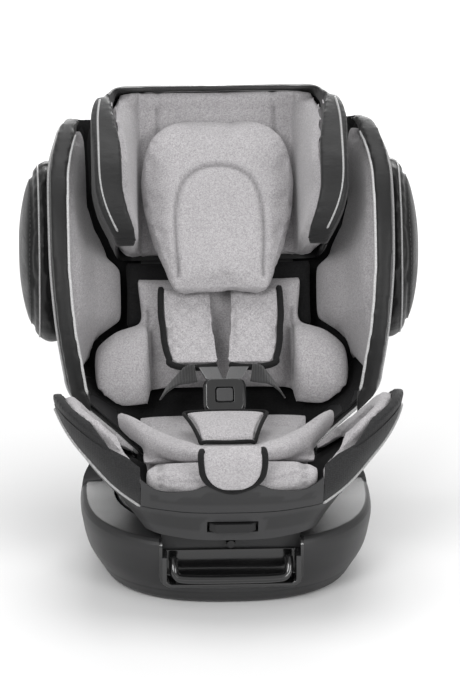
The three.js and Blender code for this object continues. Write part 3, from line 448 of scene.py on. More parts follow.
dark_steel = metal("dark_steel", base=0.05, rough=0.4)
tongue_steel = metal("tongue_steel", base=0.13, rough=0.34)
rubber = plastic("rubber", base=0.02, rough=0.85, grain=0.5, wear=0.1, scale=700)
green_plastic = plastic("green_plastic", base=0.06, rough=0.42, tint=(1.0, 5.2, 1.3))
button_plastic = plastic("button_plastic", base=0.03, rough=0.36, spec=0.4)
thread_dark = cord("thread_dark", base=0.05, metallic=0.0, rough=0.8)


# ------------------------------------------------------------------ making meshes
def shade_smooth(mesh):
    for polygon in mesh.polygons:
        polygon.use_smooth = True


def make_object(name, verts, faces, material=None):
    mesh = bpy.data.meshes.new(name)
    mesh.from_pydata([tuple(float(c) * MM for c in v) for v in verts], [], faces)
    bm = bmesh.new()
    bm.from_mesh(mesh)
    bmesh.ops.remove_doubles(bm, verts=bm.verts, dist=1e-6)
    bmesh.ops.recalc_face_normals(bm, faces=bm.faces)
    bm.to_mesh(mesh)
    bm.free()
    shade_smooth(mesh)
    ob = bpy.data.objects.new(name, mesh)
    COLLECTION.objects.link(ob)
    if material:
        mesh.materials.append(material)
    return ob


def ring_faces(rings, size, start=0, closed=False):
    """Faces joining equal rings of vertices, with end caps unless closed."""
    faces = []
    for i in range(rings if closed else rings - 1):
        this, following = start + i * size, start + (i + 1) % rings * size
        for j in range(size):
            k = (j + 1) % size
            faces.append((this + j, this + k, following + k, following + j))
    if not closed:
        faces.append(tuple(range(start, start + size)))
        faces.append(tuple(range(start + (rings - 1) * size, start + rings * size)))
    return faces


def loft(rings, name=SCRATCH, material=None, closed=False):
    """Equal closed rings of 3-D points, joined."""
    verts = [p for ring in rings for p in ring]
    return make_object(name, verts, ring_faces(len(rings), len(rings[0]), closed=closed),
                       material)


def frames(path, closed=False):
    """Centre, side and up along a path, carried on without twisting."""
    p = [Vector(q) for q in path]
    n = len(p)
    out = []
    side = None
    for i in range(n):
        before = p[i - 1] if i > 0 or closed else p[i]
        after = p[(i + 1) % n] if i < n - 1 or closed else p[i]
        t = (after - before).normalized()
        if side is None:
            reference = Vector((0, 0, 1)) if abs(t.z) < 0.8 else Vector((0, 1, 0))
            side = t.cross(reference).normalized()
        else:
            side = (side - t * side.dot(t)).normalized()
        out.append((p[i], side, t.cross(side).normalized()))
    return out


def cord_rings(path, radius, segments, end_scale, closed=False):
    """Circles along a path, narrowed at its open ends."""
    rings = []
    stations = frames(path, closed)
    for i, (centre, side, up) in enumerate(stations):
        scale = end_scale if not closed and i in (0, len(stations) - 1) else 1.0
        angles = [2 * math.pi * j / segments for j in range(segments)]
        rings.append([centre + (side * math.cos(a) + up * math.sin(a)) * radius * scale
                      for a in angles])
    return rings


def tube(name, path, radius, material, segments=8, closed=False):
    rings = cord_rings(path, radius, segments, end_scale=0.45, closed=closed)
    return loft(rings, name, material, closed)


def prism(outline, low, high, place):
    return loft([[place(a, b, level) for a, b in outline] for level in (low, high)])


# Placings for a prism: what its outline's two columns are, and the axis it runs along.
def yz_along_x(a, b, t):
    return (t, a, b)


def xz_along_y(a, b, t):
    return (a, t, b)


def un_along_x(a, b, t):
    return on_back(t, a, b)


def on_slope(a, b, t):
    """Half width a and slant height b, t back along a line that dips 20 degrees."""
    return (a, -195 + 0.342 * b + 0.9397 * t, 0.9397 * b - 0.342 * t)


def box(x0, x1, y0, y1, z0, z1):
    plan = ((x0, y0), (x1, y0), (x1, y1), (x0, y1))
    return loft([[(x, y, z) for x, y in plan] for z in (z0, z1)])


def back_block(u0, u1, n0, n1, x0, x1):
    """A box square to the backrest."""
    return prism([(u0, n0), (u1, n0), (u1, n1), (u0, n1)], x0, x1, un_along_x)


def cylinder(radius, z0, z1, segments=128):
    angles = [2 * math.pi * i / segments for i in range(segments)]
    return loft([[(radius * math.cos(a), radius * math.sin(a), z) for a in angles]
                 for z in (z0, z1)])


# ------------------------------------------------------------------ joining and cutting
def apply_modifiers(ob):
    bpy.context.view_layer.update()
    graph = bpy.context.evaluated_depsgraph_get()
    mesh = bpy.data.meshes.new_from_object(ob.evaluated_get(graph))
    old = ob.data
    ob.modifiers.clear()
    ob.data = mesh
    if old.users == 0:
        bpy.data.meshes.remove(old)


SOLVERS = {e.identifier
           for e in bpy.types.BooleanModifier.bl_rna.properties["solver"].enum_items}


def combine(ob, operation, tools):
    for tool in tools:
        modifier = ob.modifiers.new("cut", "BOOLEAN")
        modifier.operation = operation
        modifier.solver = "MANIFOLD" if "MANIFOLD" in SOLVERS else "EXACT"
        modifier.object = tool
        apply_modifiers(ob)
    for tool in tools:
        bpy.data.objects.remove(tool)
    return ob


def cut(ob, *tools):
    return combine(ob, "DIFFERENCE", tools)


def keep(ob, *tools):
    return combine(ob, "INTERSECT", tools)


def weld(ob, *tools):
    return combine(ob, "UNION", tools)


def clone(ob, name):
    copy = bpy.data.objects.new(name, ob.data.copy())
    COLLECTION.objects.link(copy)
    return copy


def keep_biggest(ob):
    """Keeps the connected body with the most vertices."""
    bm = bmesh.new()
    bm.from_mesh(ob.data)
    bm.verts.ensure_lookup_table()
    seen, best = set(), []
    for vert in bm.verts:
        if vert.index in seen:
            continue
        stack, body = [vert], []
        seen.add(vert.index)
        while stack:
            current = stack.pop()
            body.append(current)
            for edge in current.link_edges:
                other = edge.other_vert(current)
                if other.index not in seen:
                    seen.add(other.index)
                    stack.append(other)
        if len(body) > len(best):
            best = body
    kept = {v.index for v in best}
    loose = [v for v in bm.verts if v.index not in kept]
    bmesh.ops.delete(bm, geom=loose, context="VERTS")
    bm.to_mesh(ob.data)
    bm.free()
    return ob


def harden(ob, material, bevel, from_cad=False):
    """Smooth surfaces with small rounded edges."""
    ob.data.materials.clear()
    ob.data.materials.append(material)
    shade_smooth(ob.data)
    if from_cad:
        modifier = ob.modifiers.new("weld", "WELD")
        modifier.merge_threshold = 1e-6
    if bevel:
        modifier = ob.modifiers.new("edge", "BEVEL")
        modifier.width = bevel * MM
        modifier.segments = 2
        modifier.limit_method = "ANGLE"
        modifier.angle_limit = math.radians(32)
        modifier.use_clamp_overlap = True
    modifier = ob.modifiers.new("normals", "WEIGHTED_NORMAL")
    modifier.keep_sharp = not from_cad
    modifier.weight = 60


def register(ob, body, node=None):
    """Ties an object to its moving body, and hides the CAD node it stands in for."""
    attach(ob, body)
    if node:
        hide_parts(node)


def mirrored(ob, name):
    """A copy flipped in x, with the same modifiers."""
    mesh = ob.data.copy()
    mesh.name = name
    co = coords(mesh)
    co[:, 0] *= -1
    set_coords(mesh, co)
    mesh.flip_normals()
    twin = bpy.data.objects.new(name, mesh)
    COLLECTION.objects.link(twin)
    for source in ob.modifiers:
        copy = twin.modifiers.new(source.name, source.type)
        for prop in source.bl_rna.properties:
            if not prop.is_readonly and prop.identifier not in ("name", "type"):
                # Some properties refuse to be set; those keep their defaults.
                try:
                    setattr(copy, prop.identifier, getattr(source, prop.identifier))
                except (AttributeError, TypeError):
                    pass
    return twin


# ------------------------------------------------------------------ working on surfaces
def coords(mesh):
    co = np.empty(len(mesh.vertices) * 3, np.float32)
    mesh.vertices.foreach_get("co", co)
    return co.reshape(-1, 3).astype(float)


def normals(mesh):
    no = np.empty(len(mesh.vertices) * 3, np.float32)
    mesh.vertices.foreach_get("normal", no)
    return no.reshape(-1, 3).astype(float)


def set_coords(mesh, co):
    mesh.vertices.foreach_set("co", co.astype(np.float32).ravel())
    mesh.update()


def surface_of(ob):
    bm = bmesh.new()
    bm.from_mesh(ob.data)
    surface = BVHTree.FromBMesh(bm)
    bm.free()
    return surface


def project(surface, path, direction, lift=0.0, reach=400):
    """Drops each point onto the surface against the direction, from outside."""
    d = Vector(direction).normalized()
    out = []
    for p in path:
        p = Vector(p)
        hit, normal, _, _ = surface.ray_cast((p + d * reach) * MM, -d)
        if hit is None:
            hit, normal, _, _ = surface.find_nearest(p * MM)
        out.append(hit / MM + normal.normalized() * lift)
    return out


def nearest(surface, path, lift):
    out = []
    for p in path:
        hit, normal, _, _ = surface.find_nearest(Vector(p) * MM)
        out.append(hit / MM + normal.normalized() * lift)
    return out


def press(ob, weight, depth, shade):
    """Pushes vertices in by weight times depth, and marks painted shade for them in a mesh
    attribute.
    """
    mesh = ob.data
    co, no = coords(mesh), normals(mesh)
    set_coords(mesh, co - no * (weight * depth * MM)[:, None])
    # this attribute carries the painted shade along the grooves
    seam = mesh.attributes.get("seam") or mesh.attributes.new("seam", "FLOAT", "POINT")
    old = np.zeros(len(co), np.float32)
    seam.data.foreach_get("value", old)
    seam.data.foreach_set("value", np.maximum(old, shade.astype(np.float32)))


def groove(ob, path, depth, width, shade=1.0):
    """A sewn line pressed into the surface, with painted shade along it."""
    dense = smooth_path(path, 1.5)
    tree = KDTree(len(dense))
    for i, p in enumerate(dense):
        tree.insert(Vector(p) * MM, i)
    tree.balance()
    distance = np.array([tree.find(Vector(c))[2] / MM for c in coords(ob.data)])
    press(ob, np.exp(-((distance / width) ** 2)), depth,
          shade * np.exp(-((distance / (width * 0.75)) ** 2)))


def projected_groove(ob, surface, path, direction, depth, width, shade=1.0):
    groove(ob, project(surface, path, direction), depth, width, shade)


def dense_groove(ob, surface, path, depth, width):
    """A groove whose path is filled in and dropped onto the surface a second time."""
    line = smooth_path(project(surface, path, FORWARD_UP), 4.0)
    projected_groove(ob, surface, line, FORWARD_UP, depth, width)


def stitches(name, path, material, length, gap, radius, lift, surface):
    """A row of thread stitches along a path that lies on the surface."""
    p = smooth_path(path, 0.8)
    run = run_length(p)
    verts, faces = [], []
    segments = 5
    at = 0.6
    while at + length < run[-1]:
        points = [Vector([np.interp(at + length * k / 3, run, p[:, j]) for j in range(3)])
                  for k in range(4)]
        points = nearest(surface, points, lift)
        faces += ring_faces(4, segments, start=len(verts))
        for ring in cord_rings(points, radius, segments, end_scale=0.55):
            verts += ring
        at += length + gap
    return make_object(name, verts, faces, material)


def tagged(ob, slot):
    """Notes the material slot of a trim piece that goes with a pad."""
    ob["slot"] = slot
    return ob


# ------------------------------------------------------------------ padded pieces
PADS = []
FILL_FRAMES = 20


def pad(name, parts, material, node, *, voxel, relax, shrink, cap, slot="light_fabric",
        body="seat", simulate=True, finish=None):
    """Joins solids into one remeshed skin and queues it to be filled like a sewn cushion.

    shrink takes the skin in before filling, and cap limits how far it swells. finish adds
    grooves and returns trim pieces. A name ending in _right also gets a mirrored twin.
    """
    bm = bmesh.new()
    for part in parts:
        if isinstance(part, bpy.types.Object):
            bm.from_mesh(part.data)
            bpy.data.objects.remove(part)
        else:
            bm.from_mesh(NODES[part].data)
    mesh = bpy.data.meshes.new(name)
    bm.to_mesh(mesh)
    bm.free()
    ob = bpy.data.objects.new(name, mesh)
    COLLECTION.objects.link(ob)
    modifier = ob.modifiers.new("remesh", "REMESH")
    modifier.mode = "VOXEL"
    modifier.voxel_size = voxel * MM
    modifier = ob.modifiers.new("relax", "SMOOTH")
    modifier.factor = 0.5
    modifier.iterations = relax
    if shrink:
        modifier = ob.modifiers.new("shrink", "DISPLACE")
        modifier.strength = -shrink * MM
        modifier.mid_level = 0.0
    apply_modifiers(ob)
    ob.data.materials.clear()
    ob.data.materials.append(material)
    shade_smooth(ob.data)
    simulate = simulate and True
    PADS.append(dict(ob=ob, rest=coords(ob.data), cap=cap * MM, body=body, slot=slot,
                     node=node, finish=finish, simulate=simulate, shrink=shrink))
    if simulate:
        add_filling(ob)


def add_filling(ob):
    """Cloth under inner pressure, without gravity; the pin group is empty."""
    ob.vertex_groups.new(name="pin")
    cloth = ob.modifiers.new("fill", "CLOTH")
    settings = cloth.settings
    settings.quality = 4
    settings.mass = 0.3
    settings.tension_stiffness = 15.0
    settings.compression_stiffness = 15.0
    settings.shear_stiffness = 5
    settings.bending_stiffness = 0.5
    settings.use_pressure = True
    settings.uniform_pressure_force = 4.0
    settings.effector_weights.gravity = 0
    settings.vertex_group_mass = "pin"
    cloth.collision_settings.use_collision = False
    cloth.point_cache.frame_start = 1
    cloth.point_cache.frame_end = FILL_FRAMES


def simulate_pads():
    """Fills the queued pads together, then fixes the capped result in their meshes."""
    todo = [entry for entry in PADS if entry["simulate"]]
    if not todo:
        return
    scene = bpy.context.scene
    scene.frame_start, scene.frame_end = 1, FILL_FRAMES
    for number in range(1, FILL_FRAMES + 1):
        scene.frame_set(number)
    graph = bpy.context.evaluated_depsgraph_get()
    filled = [coords(entry["ob"].evaluated_get(graph).data) for entry in todo]
    for entry, co in zip(todo, filled):
        ob, cap = entry["ob"], entry["cap"]
        ob.modifiers.clear()
        ob.vertex_groups.clear()
        move = co - entry["rest"]
        length = np.linalg.norm(move, axis=1)
        capped = cap * np.tanh(length / cap)
        move *= (capped / np.maximum(length, 1e-9))[:, None]
        set_coords(ob.data, entry["rest"] + move)
    scene.frame_set(1)


def finish_pads():
    """Adds each pad's grooves, trim and twins, and registers them all."""
    for entry in PADS:
        ob, body, slot, node = (entry[key] for key in ("ob", "body", "slot", "node"))
        if not entry["simulate"] and entry["shrink"]:
            swell = normals(ob.data) * entry["shrink"] * 0.6 * MM
            set_coords(ob.data, coords(ob.data) + swell)
        trim = entry["finish"](ob) if entry["finish"] else []
        subdivide = ob.modifiers.new("subdivide", "SUBSURF")
        subdivide.levels = subdivide.render_levels = 1
        twins = []
        if ob.name.endswith("_right"):
            twins = [mirrored(x, x.name.replace("_right", "_left")) for x in [ob] + trim]
        register(ob, body, node)
        for piece in trim:
            register(piece, body)
        if twins:
            register(twins[0], body, node.replace("_right", "_left"))
            for piece, twin in zip(trim, twins[1:]):
                register(twin, body)


# ------------------------------------------------------------------ seat and backrest envelopes
def envelope_half(z):
    rear, front = curve(ENVELOPE, z, 1), curve(ENVELOPE, z, 2)
    depth = curve(FRONT_DEPTH, z)
    rise = min(1, max(0, (z - 175) / 65))
    half = []
    for y, share in PLAN:
        width = front if y < -0.5 else (rear + front) / 2 if y < -0.4 else rear
        half.append((share * width, y * depth))
    return half + [((share + grow * rise) * rear, y) for y, share, grow in REAR_PLAN]


def inward(ring, distance):
    if not distance:
        return ring
    n = np.roll(ring, -1, axis=0) - np.roll(ring, 1, axis=0)
    n = np.stack([-n[:, 1], n[:, 0]], axis=1)
    n /= np.maximum(np.linalg.norm(n, axis=1), 1e-9)[:, None]
    x, y = ring[:, 0], ring[:, 1]
    area = float(np.sum(x * np.roll(y, -1) - np.roll(x, -1) * y))
    return ring + n * distance * (1 if area > 0 else -1)


ENVELOPE_RINGS = {}


def envelope_ring(z, inset=0.0, count=220):
    key = (round(z, 3), inset)
    if key not in ENVELOPE_RINGS:
        half = envelope_half(z)
        p = smooth_path(half + mirror(half), 4.0, closed=True)
        p = np.vstack([p, p[:1]])
        run = run_length(p)
        even = resample(p, run, np.linspace(0, run[-1], count + 1)[:-1])
        ENVELOPE_RINGS[key] = inward(even, inset)
    return ENVELOPE_RINGS[key]


def envelope_x(y, z):
    """Half width of the seat envelope at y, z."""
    ring = envelope_ring(z)
    best = 0.0
    for i in range(len(ring)):
        a, b = ring[i], ring[(i + 1) % len(ring)]
        if (a[1] - y) * (b[1] - y) <= 0 and abs(a[1] - b[1]) > 1e-9:
            best = max(best, a[0] + (b[0] - a[0]) * (y - a[1]) / (b[1] - a[1]))
    return best


def underside_cutter(inset):
    """All that lies below the round underside and the slope that rises behind it."""
    radius, front = 225 - inset, 141 + inset
    rise = math.radians(-26)
    start = -180 + math.degrees(math.acos(front / radius))
    end = -26 + math.degrees(math.asin(inset / radius))
    outline = [(-front, -20)]
    for i in range(65):
        a = math.radians(start + (end - start) * i / 64)
        outline.append((radius * math.cos(a), PIVOT_Z + radius * math.sin(a)))
    outline += [(430 * math.cos(rise) - inset * math.sin(rise),
                 PIVOT_Z + 430 * math.sin(rise) + inset * math.cos(rise)), (430, -20)]
    return prism(outline, -300, 300, yz_along_x)


def seat_solid(inset):
    """The whole seat's outside, taken in by the inset."""
    bottom = 108 + inset
    levels = list(np.arange(bottom, 300, 8)) + [300, 460, 640]
    solid = loft([[(x, y, z) for x, y in envelope_ring(float(z), inset)] for z in levels],
                 "seat_solid")
    cut(solid, underside_cutter(inset))
    front = box(-300, 300, -400, -(141 + inset) + 1, -20, 148 + inset)
    if inset <= 0.35:
        keep(front, cylinder(201, -30, 158))
    cut(solid, front)
    # Clearance for the ring below: level at the front, tilted about the pivot at the rear
    ring = cut(cylinder(201, 60, 146 + inset), cylinder(180.5 - inset, 50, 200))
    pivot = PIVOT_Z * MM
    tilt = (Matrix.Translation((0, 0, pivot)) @ Matrix.Rotation(math.radians(15), 4, "X")
            @ Matrix.Translation((0, 0, -pivot)))
    rear_ring = clone(ring, SCRATCH)
    rear_ring.data.transform(tilt)
    keep(ring, box(-300, 300, -(141 + inset), 0, 0, 300))
    keep(rear_ring, box(-300, 300, 0, 400, 0, 400))
    return cut(solid, ring, rear_ring)


def above_line(line, distance):
    """All that lies above a side-view line moved up by the distance."""
    path = [Vector((y, z, 0)) for y, z in smooth_path(line, 5.0)]
    edge = []
    for i, p in enumerate(path):
        t = (path[min(len(path) - 1, i + 1)] - path[max(0, i - 1)]).normalized()
        edge.append((p.x + distance * t.y, p.y - distance * t.x))
    outline = [(450, 700), (450, edge[0][1])] + edge + [(-320, edge[-1][1]), (-320, 700)]
    return prism(outline, -310, 310, yz_along_x)


def before_back(distance):
    """All that lies in front of the backrest's piping moved forwards by the distance."""
    edge = offset_line(BACK_PIPING, -distance)
    outline = [(-320, 40), (edge[0][0] - 2, 40)] + edge
    outline += [(450, edge[-1][1]), (450, 760), (-320, 760)]
    return prism(outline, -310, 310, yz_along_x)


def back_ring(u, inset):
    rear, front = curve(BACK_REAR_WIDTH, u), curve(BACK_FRONT_WIDTH, u)
    radius = BACK_CORNER - inset
    half = [(rear - BACK_CORNER + radius * math.cos(a),
             BACK_REAR + BACK_CORNER + radius * math.sin(a))
            for a in np.linspace(-math.pi / 2, 0, 14)]
    half += [(front - inset - 2 + (rear - front) * 0.33, 40), (front - inset - 2, 90),
             (front - inset, 130), (front - inset + 2, 220)]
    return half + mirror(half)


def back_x(u, n):
    """Half width of the backrest at u, n."""
    half = [p for p in back_ring(u, 0) if p[0] > 0]
    half.sort(key=lambda p: p[1])
    return float(np.interp(n, [p[1] for p in half], [p[0] for p in half]))


def back_solid(inset, seat_inset=None):
    """The backrest's outside, kept within the seat's."""
    levels = list(np.arange(-90, 410, 14)) + [417, 450]
    solid = loft([[on_back(x, u, n) for x, n in back_ring(float(u), inset)] for u in levels],
                 "back_solid")
    return keep(solid, seat_solid(inset if seat_inset is None else seat_inset))


def back_above_step():
    """The backrest's side view above a level step at its foot."""
    return prism([(51, 120.6), (470, 120.6), (470, 700), (-60, 700), (-60, 330), (38, 180)],
                 -310, 310, yz_along_x)


def back_behind_seat():
    """The backrest's side view behind the seat's sides."""
    return prism([(51, 60), (51, 125), (40, 180), (17, 240), (17, 300), (-100, 320),
                  (-100, 700), (470, 700), (470, 60)], -310, 310, yz_along_x)


def below_top(top):
    return back_block(-300, top, -250, 400, -320, 320)


BACK_TOP = 417


# ------------------------------------------------------------------ shells
def make_seat_tub():
    # Left half of the apron's upper edge (x, z)
    wave_half = [(-160, 240), (-124, 197), (-104, 182), (-89, 179), (-66, 181), (-50, 184),
                 (-35, 190), (0, 194)]
    wall = cut(seat_solid(0.0), seat_solid(4.0))
    tub = keep(clone(wall, "seat_tub_skin"), box(-310, 310, -300, 64, 60, 300))
    cut(tub, above_line(RIM_LINE, 0.0), box(-121, 121, -320, -150, 158, 300))
    wave = list(smooth_path(wave_half + mirror(wave_half[:-1]), 4.0))
    wave_cutter = prism(wave + [(160, 330), (-160, 330)], -330, -120, xz_along_y)
    apron = cut(keep(wall, box(-121.2, 121.2, -320, -150, 150, 240)), wave_cutter)
    weld(tub, apron)
    cut(tub, box(-34, 34, -260, -180, 120, 136))  # slot low in the front
    keep_biggest(tub)
    harden(tub, shell_plastic, bevel=0.8)
    register(tub, "seat", "seat_tub")


def make_back_cover():
    """Leatherette skin round the backrest, with an arched opening behind."""
    arch_half = [(178, -60), (184, 120), (182, 230), (170, 280), (140, 308), (100, 318)]
    cover = cut(back_solid(0.0), back_solid(4.0), before_back(0.0))
    arch = smooth_path([(-178, -60)] + arch_half + mirror(arch_half[1:]), 6.0, closed=True)
    cut(cover, prism(arch, -120, -20, on_back))
    keep(cover, back_above_step(), back_behind_seat(), below_top(BACK_TOP))
    keep_biggest(cover)
    cover.name = "back_outer_skin"
    harden(cover, leatherette, bevel=1.2)
    register(cover, "seat", "back_outer_cover")


# ------------------------------------------------------------------ base
# z, half width, half depth, and the superellipse power where it isn't 2.5
HOUSING = [(20, 176, 181), (32, 183.5, 187), (44, 189, 191.5), (66, 194, 197), (80, 196, 198),
           (88, 195, 197), (93, 192, 194), (96, 187, 189)]
DOME = [(86, 195, 197, 2.3), (100, 195, 197, 2.2), (110, 195, 197, 2.05), (128, 192, 194, 2),
        (138, 188.5, 191, 2), (143, 184, 187, 2)]


def oval(half_x, half_y, power, z, count=120):
    angles = [2 * math.pi * i / count for i in range(count)]
    return [(half_x * squared(math.cos(a), 2 / power), half_y * squared(math.sin(a), 2 / power),
             z) for a in angles]


def base_loft(rows, step=3.0, grow=0.0):
    levels = [row[0] for row in rows]
    levels += [float(z) for z in np.arange(rows[0][0], rows[-1][0], step)]
    powers = [(row[0], row[3] if len(row) > 3 else 2.5) for row in rows]
    return loft([oval(curve(rows, z, 1) + grow, curve(rows, z, 2) + grow, curve(powers, z), z)
                 for z in sorted(set(levels))])


def rounded_rectangle(half_width, half_height, radius, x, z, count=6):
    out = []
    for side, rise, start in ((1, 1, 0), (-1, 1, 90), (-1, -1, 180), (1, -1, 270)):
        for i in range(count + 1):
            a = math.radians(start + 90 * i / count)
            out.append((x + side * (half_width - radius) + radius * math.cos(a),
                        z + rise * (half_height - radius) + radius * math.sin(a)))
    return out


def finish_base_part(ob, name, material, bevel, node=None):
    ob.name = name
    harden(ob, material, bevel)
    register(ob, "base", node)


def make_housing():
    # Upper profile of the raised rear (y, z), and the left half of the front notch (x, z)
    dome_profile = [(30, 84), (42, 97), (70, 108), (95, 121), (120, 132.5), (140, 140),
                    (165, 144.5), (230, 146)]
    notch_half = [(-93, 130), (-93, 42), (-91, 35.5), (-86, 31), (-80, 30)]
    # Hollow inside the dome (z, radius)
    dome_hollow = ((78, 172), (104, 173), (128, 178), (150, 184.5))
    housing = base_loft(HOUSING)
    dome = base_loft(DOME)
    keep(dome, prism(list(smooth_path(dome_profile, 4.0)) + [(230, 80), (30, 80)], -220, 220,
                     yz_along_x))
    cut(dome, loft([oval(radius, radius, 2, z) for z, radius in dome_hollow]))
    weld(housing, dome)
    cut(housing, cylinder(151, 57, 120), base_loft([(19, 168, 172), (50, 184, 187)]),
        prism(notch_half + mirror(notch_half), -230, -156, xz_along_y))
    for x in (140, -140):  # openings for the ISOFIX arms at the rear
        cut(housing, prism(rounded_rectangle(19, 17, 5, x, 39), 60, 230, xz_along_y))
    hole = [(6.4 * math.cos(a), 83 + 6.4 * math.sin(a)) for a in turn(24)]
    cut(housing, prism(hole, -175, -140, xz_along_y))
    finish_base_part(housing, "base_housing_skin", base_plastic, 1.0, node="base_upper_housing")


def make_tray():
    tray = base_loft([(0, 158, 164), (1.5, 162, 167.5), (4, 166, 171), (12, 171, 176),
                      (17, 174, 179), (19.6, 175, 180)], step=2.0)
    groove_ring = cut(base_loft([(-1, 120, 124), (2.4, 120, 124)]),
                      base_loft([(-2, 96, 100), (3, 96, 100)]))
    cut(tray, groove_ring)
    finish_base_part(tray, "base_tray_skin", base_plastic, 0.6, node="base_lower_tray")


def make_dome_lip():
    """The raised lip at the rear of the dome."""
    lip = base_loft([(136, 190, 192.4, 2), (139, 190.4, 192.8, 2), (141.5, 189.4, 191.8, 2),
                     (143.6, 186, 188.8, 2)], step=1.2)
    cut(lip, cylinder(182.5, 120, 160))
    keep(lip, prism([(118, 120), (118, 160), (230, 160), (230, 120)], -170, 170, yz_along_x))
    finish_base_part(lip, "base_dome_lip", base_plastic, 0.6)


def make_handle_bezel():
    """The glossy frame round the handle bay at the front; left halves (x, z)."""
    outer_half = [(-96.4, 95.6), (-96.4, 42), (-94, 33.6), (-88, 28.2), (-80, 26.6)]
    inner_half = [(-92.2, 130), (-92.2, 42), (-90.4, 36), (-85.6, 31.6), (-80, 30.8)]
    bezel = base_loft([(24, 178.6, 183.2)] + HOUSING[1:7] + [(95.8, 187.4, 189.4)], grow=1.1)
    keep(bezel, prism(outer_half + mirror(outer_half), -230, -150, xz_along_y))
    inside = [(20, 171, 176), (44, 184, 186.5), (80, 191, 193), (97, 183, 185)]
    cut(bezel, prism(inner_half + mirror(inner_half), -230, -140, xz_along_y),
        base_loft(inside, grow=-0.4))
    finish_base_part(bezel, "handle_bezel", gloss_black, 0.7)


def make_release_handle():
    path = [(-76, -172, 68), (-77, -181, 58), (-74, -187, 47), (-60, -190, 43),
            (0, -191, 42.5), (60, -190, 43), (74, -187, 47), (77, -181, 58), (76, -172, 68)]
    handle = tube("release_handle_bar", smooth_path(path, 2.5), 6.0, gloss_black, segments=18)
    register(handle, "release_handle", "release_handle")


# CAD pieces that stay: node, material, slot, bevel
CAD_BASE = [
    ("base_foot_ring", rubber, "rubber", 0.4),
    ("handle_bay", gloss_black, "gloss_black", 1.2),
    ("bearing_ring", steel, "steel", 0.5),
    ("centre_spindle", steel, "steel", 0.5),
    ("turntable_lock_pin", dark_steel, "steel", 0.6),
    ("turntable_disc", black_plastic, "black_plastic", 0.8),
    ("recline_cradle", black_plastic, "black_plastic", 1.5),
    ("isofix_frame", steel, "steel", 0)]
CAD_SIDES = [
    ("isofix_connector_", black_plastic, "black_plastic", 0.8),
    ("isofix_release_", green_plastic, "green_plastic", 0.5),
    ("isofix_jaw_", steel, "steel", 0.3),
    ("buckle_tongue_", tongue_steel, "steel", 0.8),
    ("belt_guide_", black_plastic, "black_plastic", 0.8)]
CAD_SEAT = [
    ("backrest_shell", shell_plastic, "shell_plastic", 0.7),
    ("recline_lever", black_plastic, "black_plastic", 1.5),
    ("buckle_housing", gloss_black, "gloss_black", 1.6),
    ("buckle_button", button_plastic, "black_plastic", 0.8),
    ("harness_adjuster_button", black_plastic, "black_plastic", 0.8),
    ("headrest_shell", black_plastic, "black_plastic", 0),
    ("headrest_slider", dark_steel, "steel", 0.8),
    ("headrest_carriage", black_plastic, "black_plastic", 0.8)]


def dress_cad_parts():
    paired = [(stem + side, *rest) for side in ("left", "right") for stem, *rest in CAD_SIDES]
    for name, material, slot, bevel in CAD_BASE + paired + CAD_SEAT:
        harden(NODES[name], material, bevel, from_cad=True)


# ------------------------------------------------------------------ seat rims and wing pads
# Upper edge of the seat's rim: a band over the piping, narrowing round the front corner
BAND_TOP = [p for p in offset_line(SEAT_PIPING, 22)[::4] if p[0] > -150] + [
    (-164, 271), (-184, 263), (-199, 250), (-208, 232), (-214, 211), (-219, 190), (-225, 168)]
# Round the wing's front corner (half width, slant height): where the dark rim gives way to
# the light lining, and where the lining ends
RIM_INNER = [(260, 322), (216, 306), (204, 292), (195, 277), (176, 241), (153, 207),
             (134, 178), (116, 162), (100, 154)]
LINING_INNER = [(260, 336), (206, 318), (190, 302), (181, 286), (163, 251), (141, 217),
                (124, 192), (108, 176), (92, 168)]


def inside_corner(line, back):
    points = list(smooth_path(line, 4.0))
    outline = [(line[0][0], 420)] + points + [(60, points[-1][1]), (60, 420)]
    return prism(outline, -160, back, on_slope)


def seat_right_side():
    """Two cutters that leave only the right side in front of the backrest."""
    side_view = [(49, 60), (49, 125), (38, 180), (15, 240), (15, 300), (-320, 300), (-320, 60)]
    return prism(side_view, -310, 310, yz_along_x), box(122, 330, -330, 450, 0, 700)


def trim_seat_rim(ob):
    line = [(envelope_x(y, z) + 0.4, y, z) for y, z in RIM_LINE]
    line = even_out(smooth_path(line, 6.0), 3)
    return [tagged(tube("seat_piping_right", smooth_path(line, 3.0), 2.3, silver, 10),
                   "dark_fabric")]


def make_seat_rims():
    """A thin fabric skin with a padded band above it, on both sides."""
    band = cut(seat_solid(0.3), seat_solid(15))
    keep(band, above_line(SEAT_PIPING, 0.6), *seat_right_side())
    cut(band, above_line(BAND_TOP, 0), inside_corner(RIM_INNER, 10))
    skin = cut(seat_solid(0.3), seat_solid(4.7))
    skin.name = "seat_rim_skin_right"
    keep(skin, above_line(RIM_LINE, 0.6), *seat_right_side())
    cut(skin, above_line(SEAT_PIPING, 7), above_line(BAND_TOP, -3))
    keep_biggest(skin)
    harden(skin, rim_fabric, bevel=0.6)
    skin_left = mirrored(skin, "seat_rim_skin_left")
    register(skin, "seat")
    register(skin_left, "seat")
    pad("seat_rim_pad_right", [band], rim_fabric, "seat_rim_right", slot="dark_fabric",
        voxel=3.2, relax=5, shrink=1.4, cap=4.0, finish=trim_seat_rim)


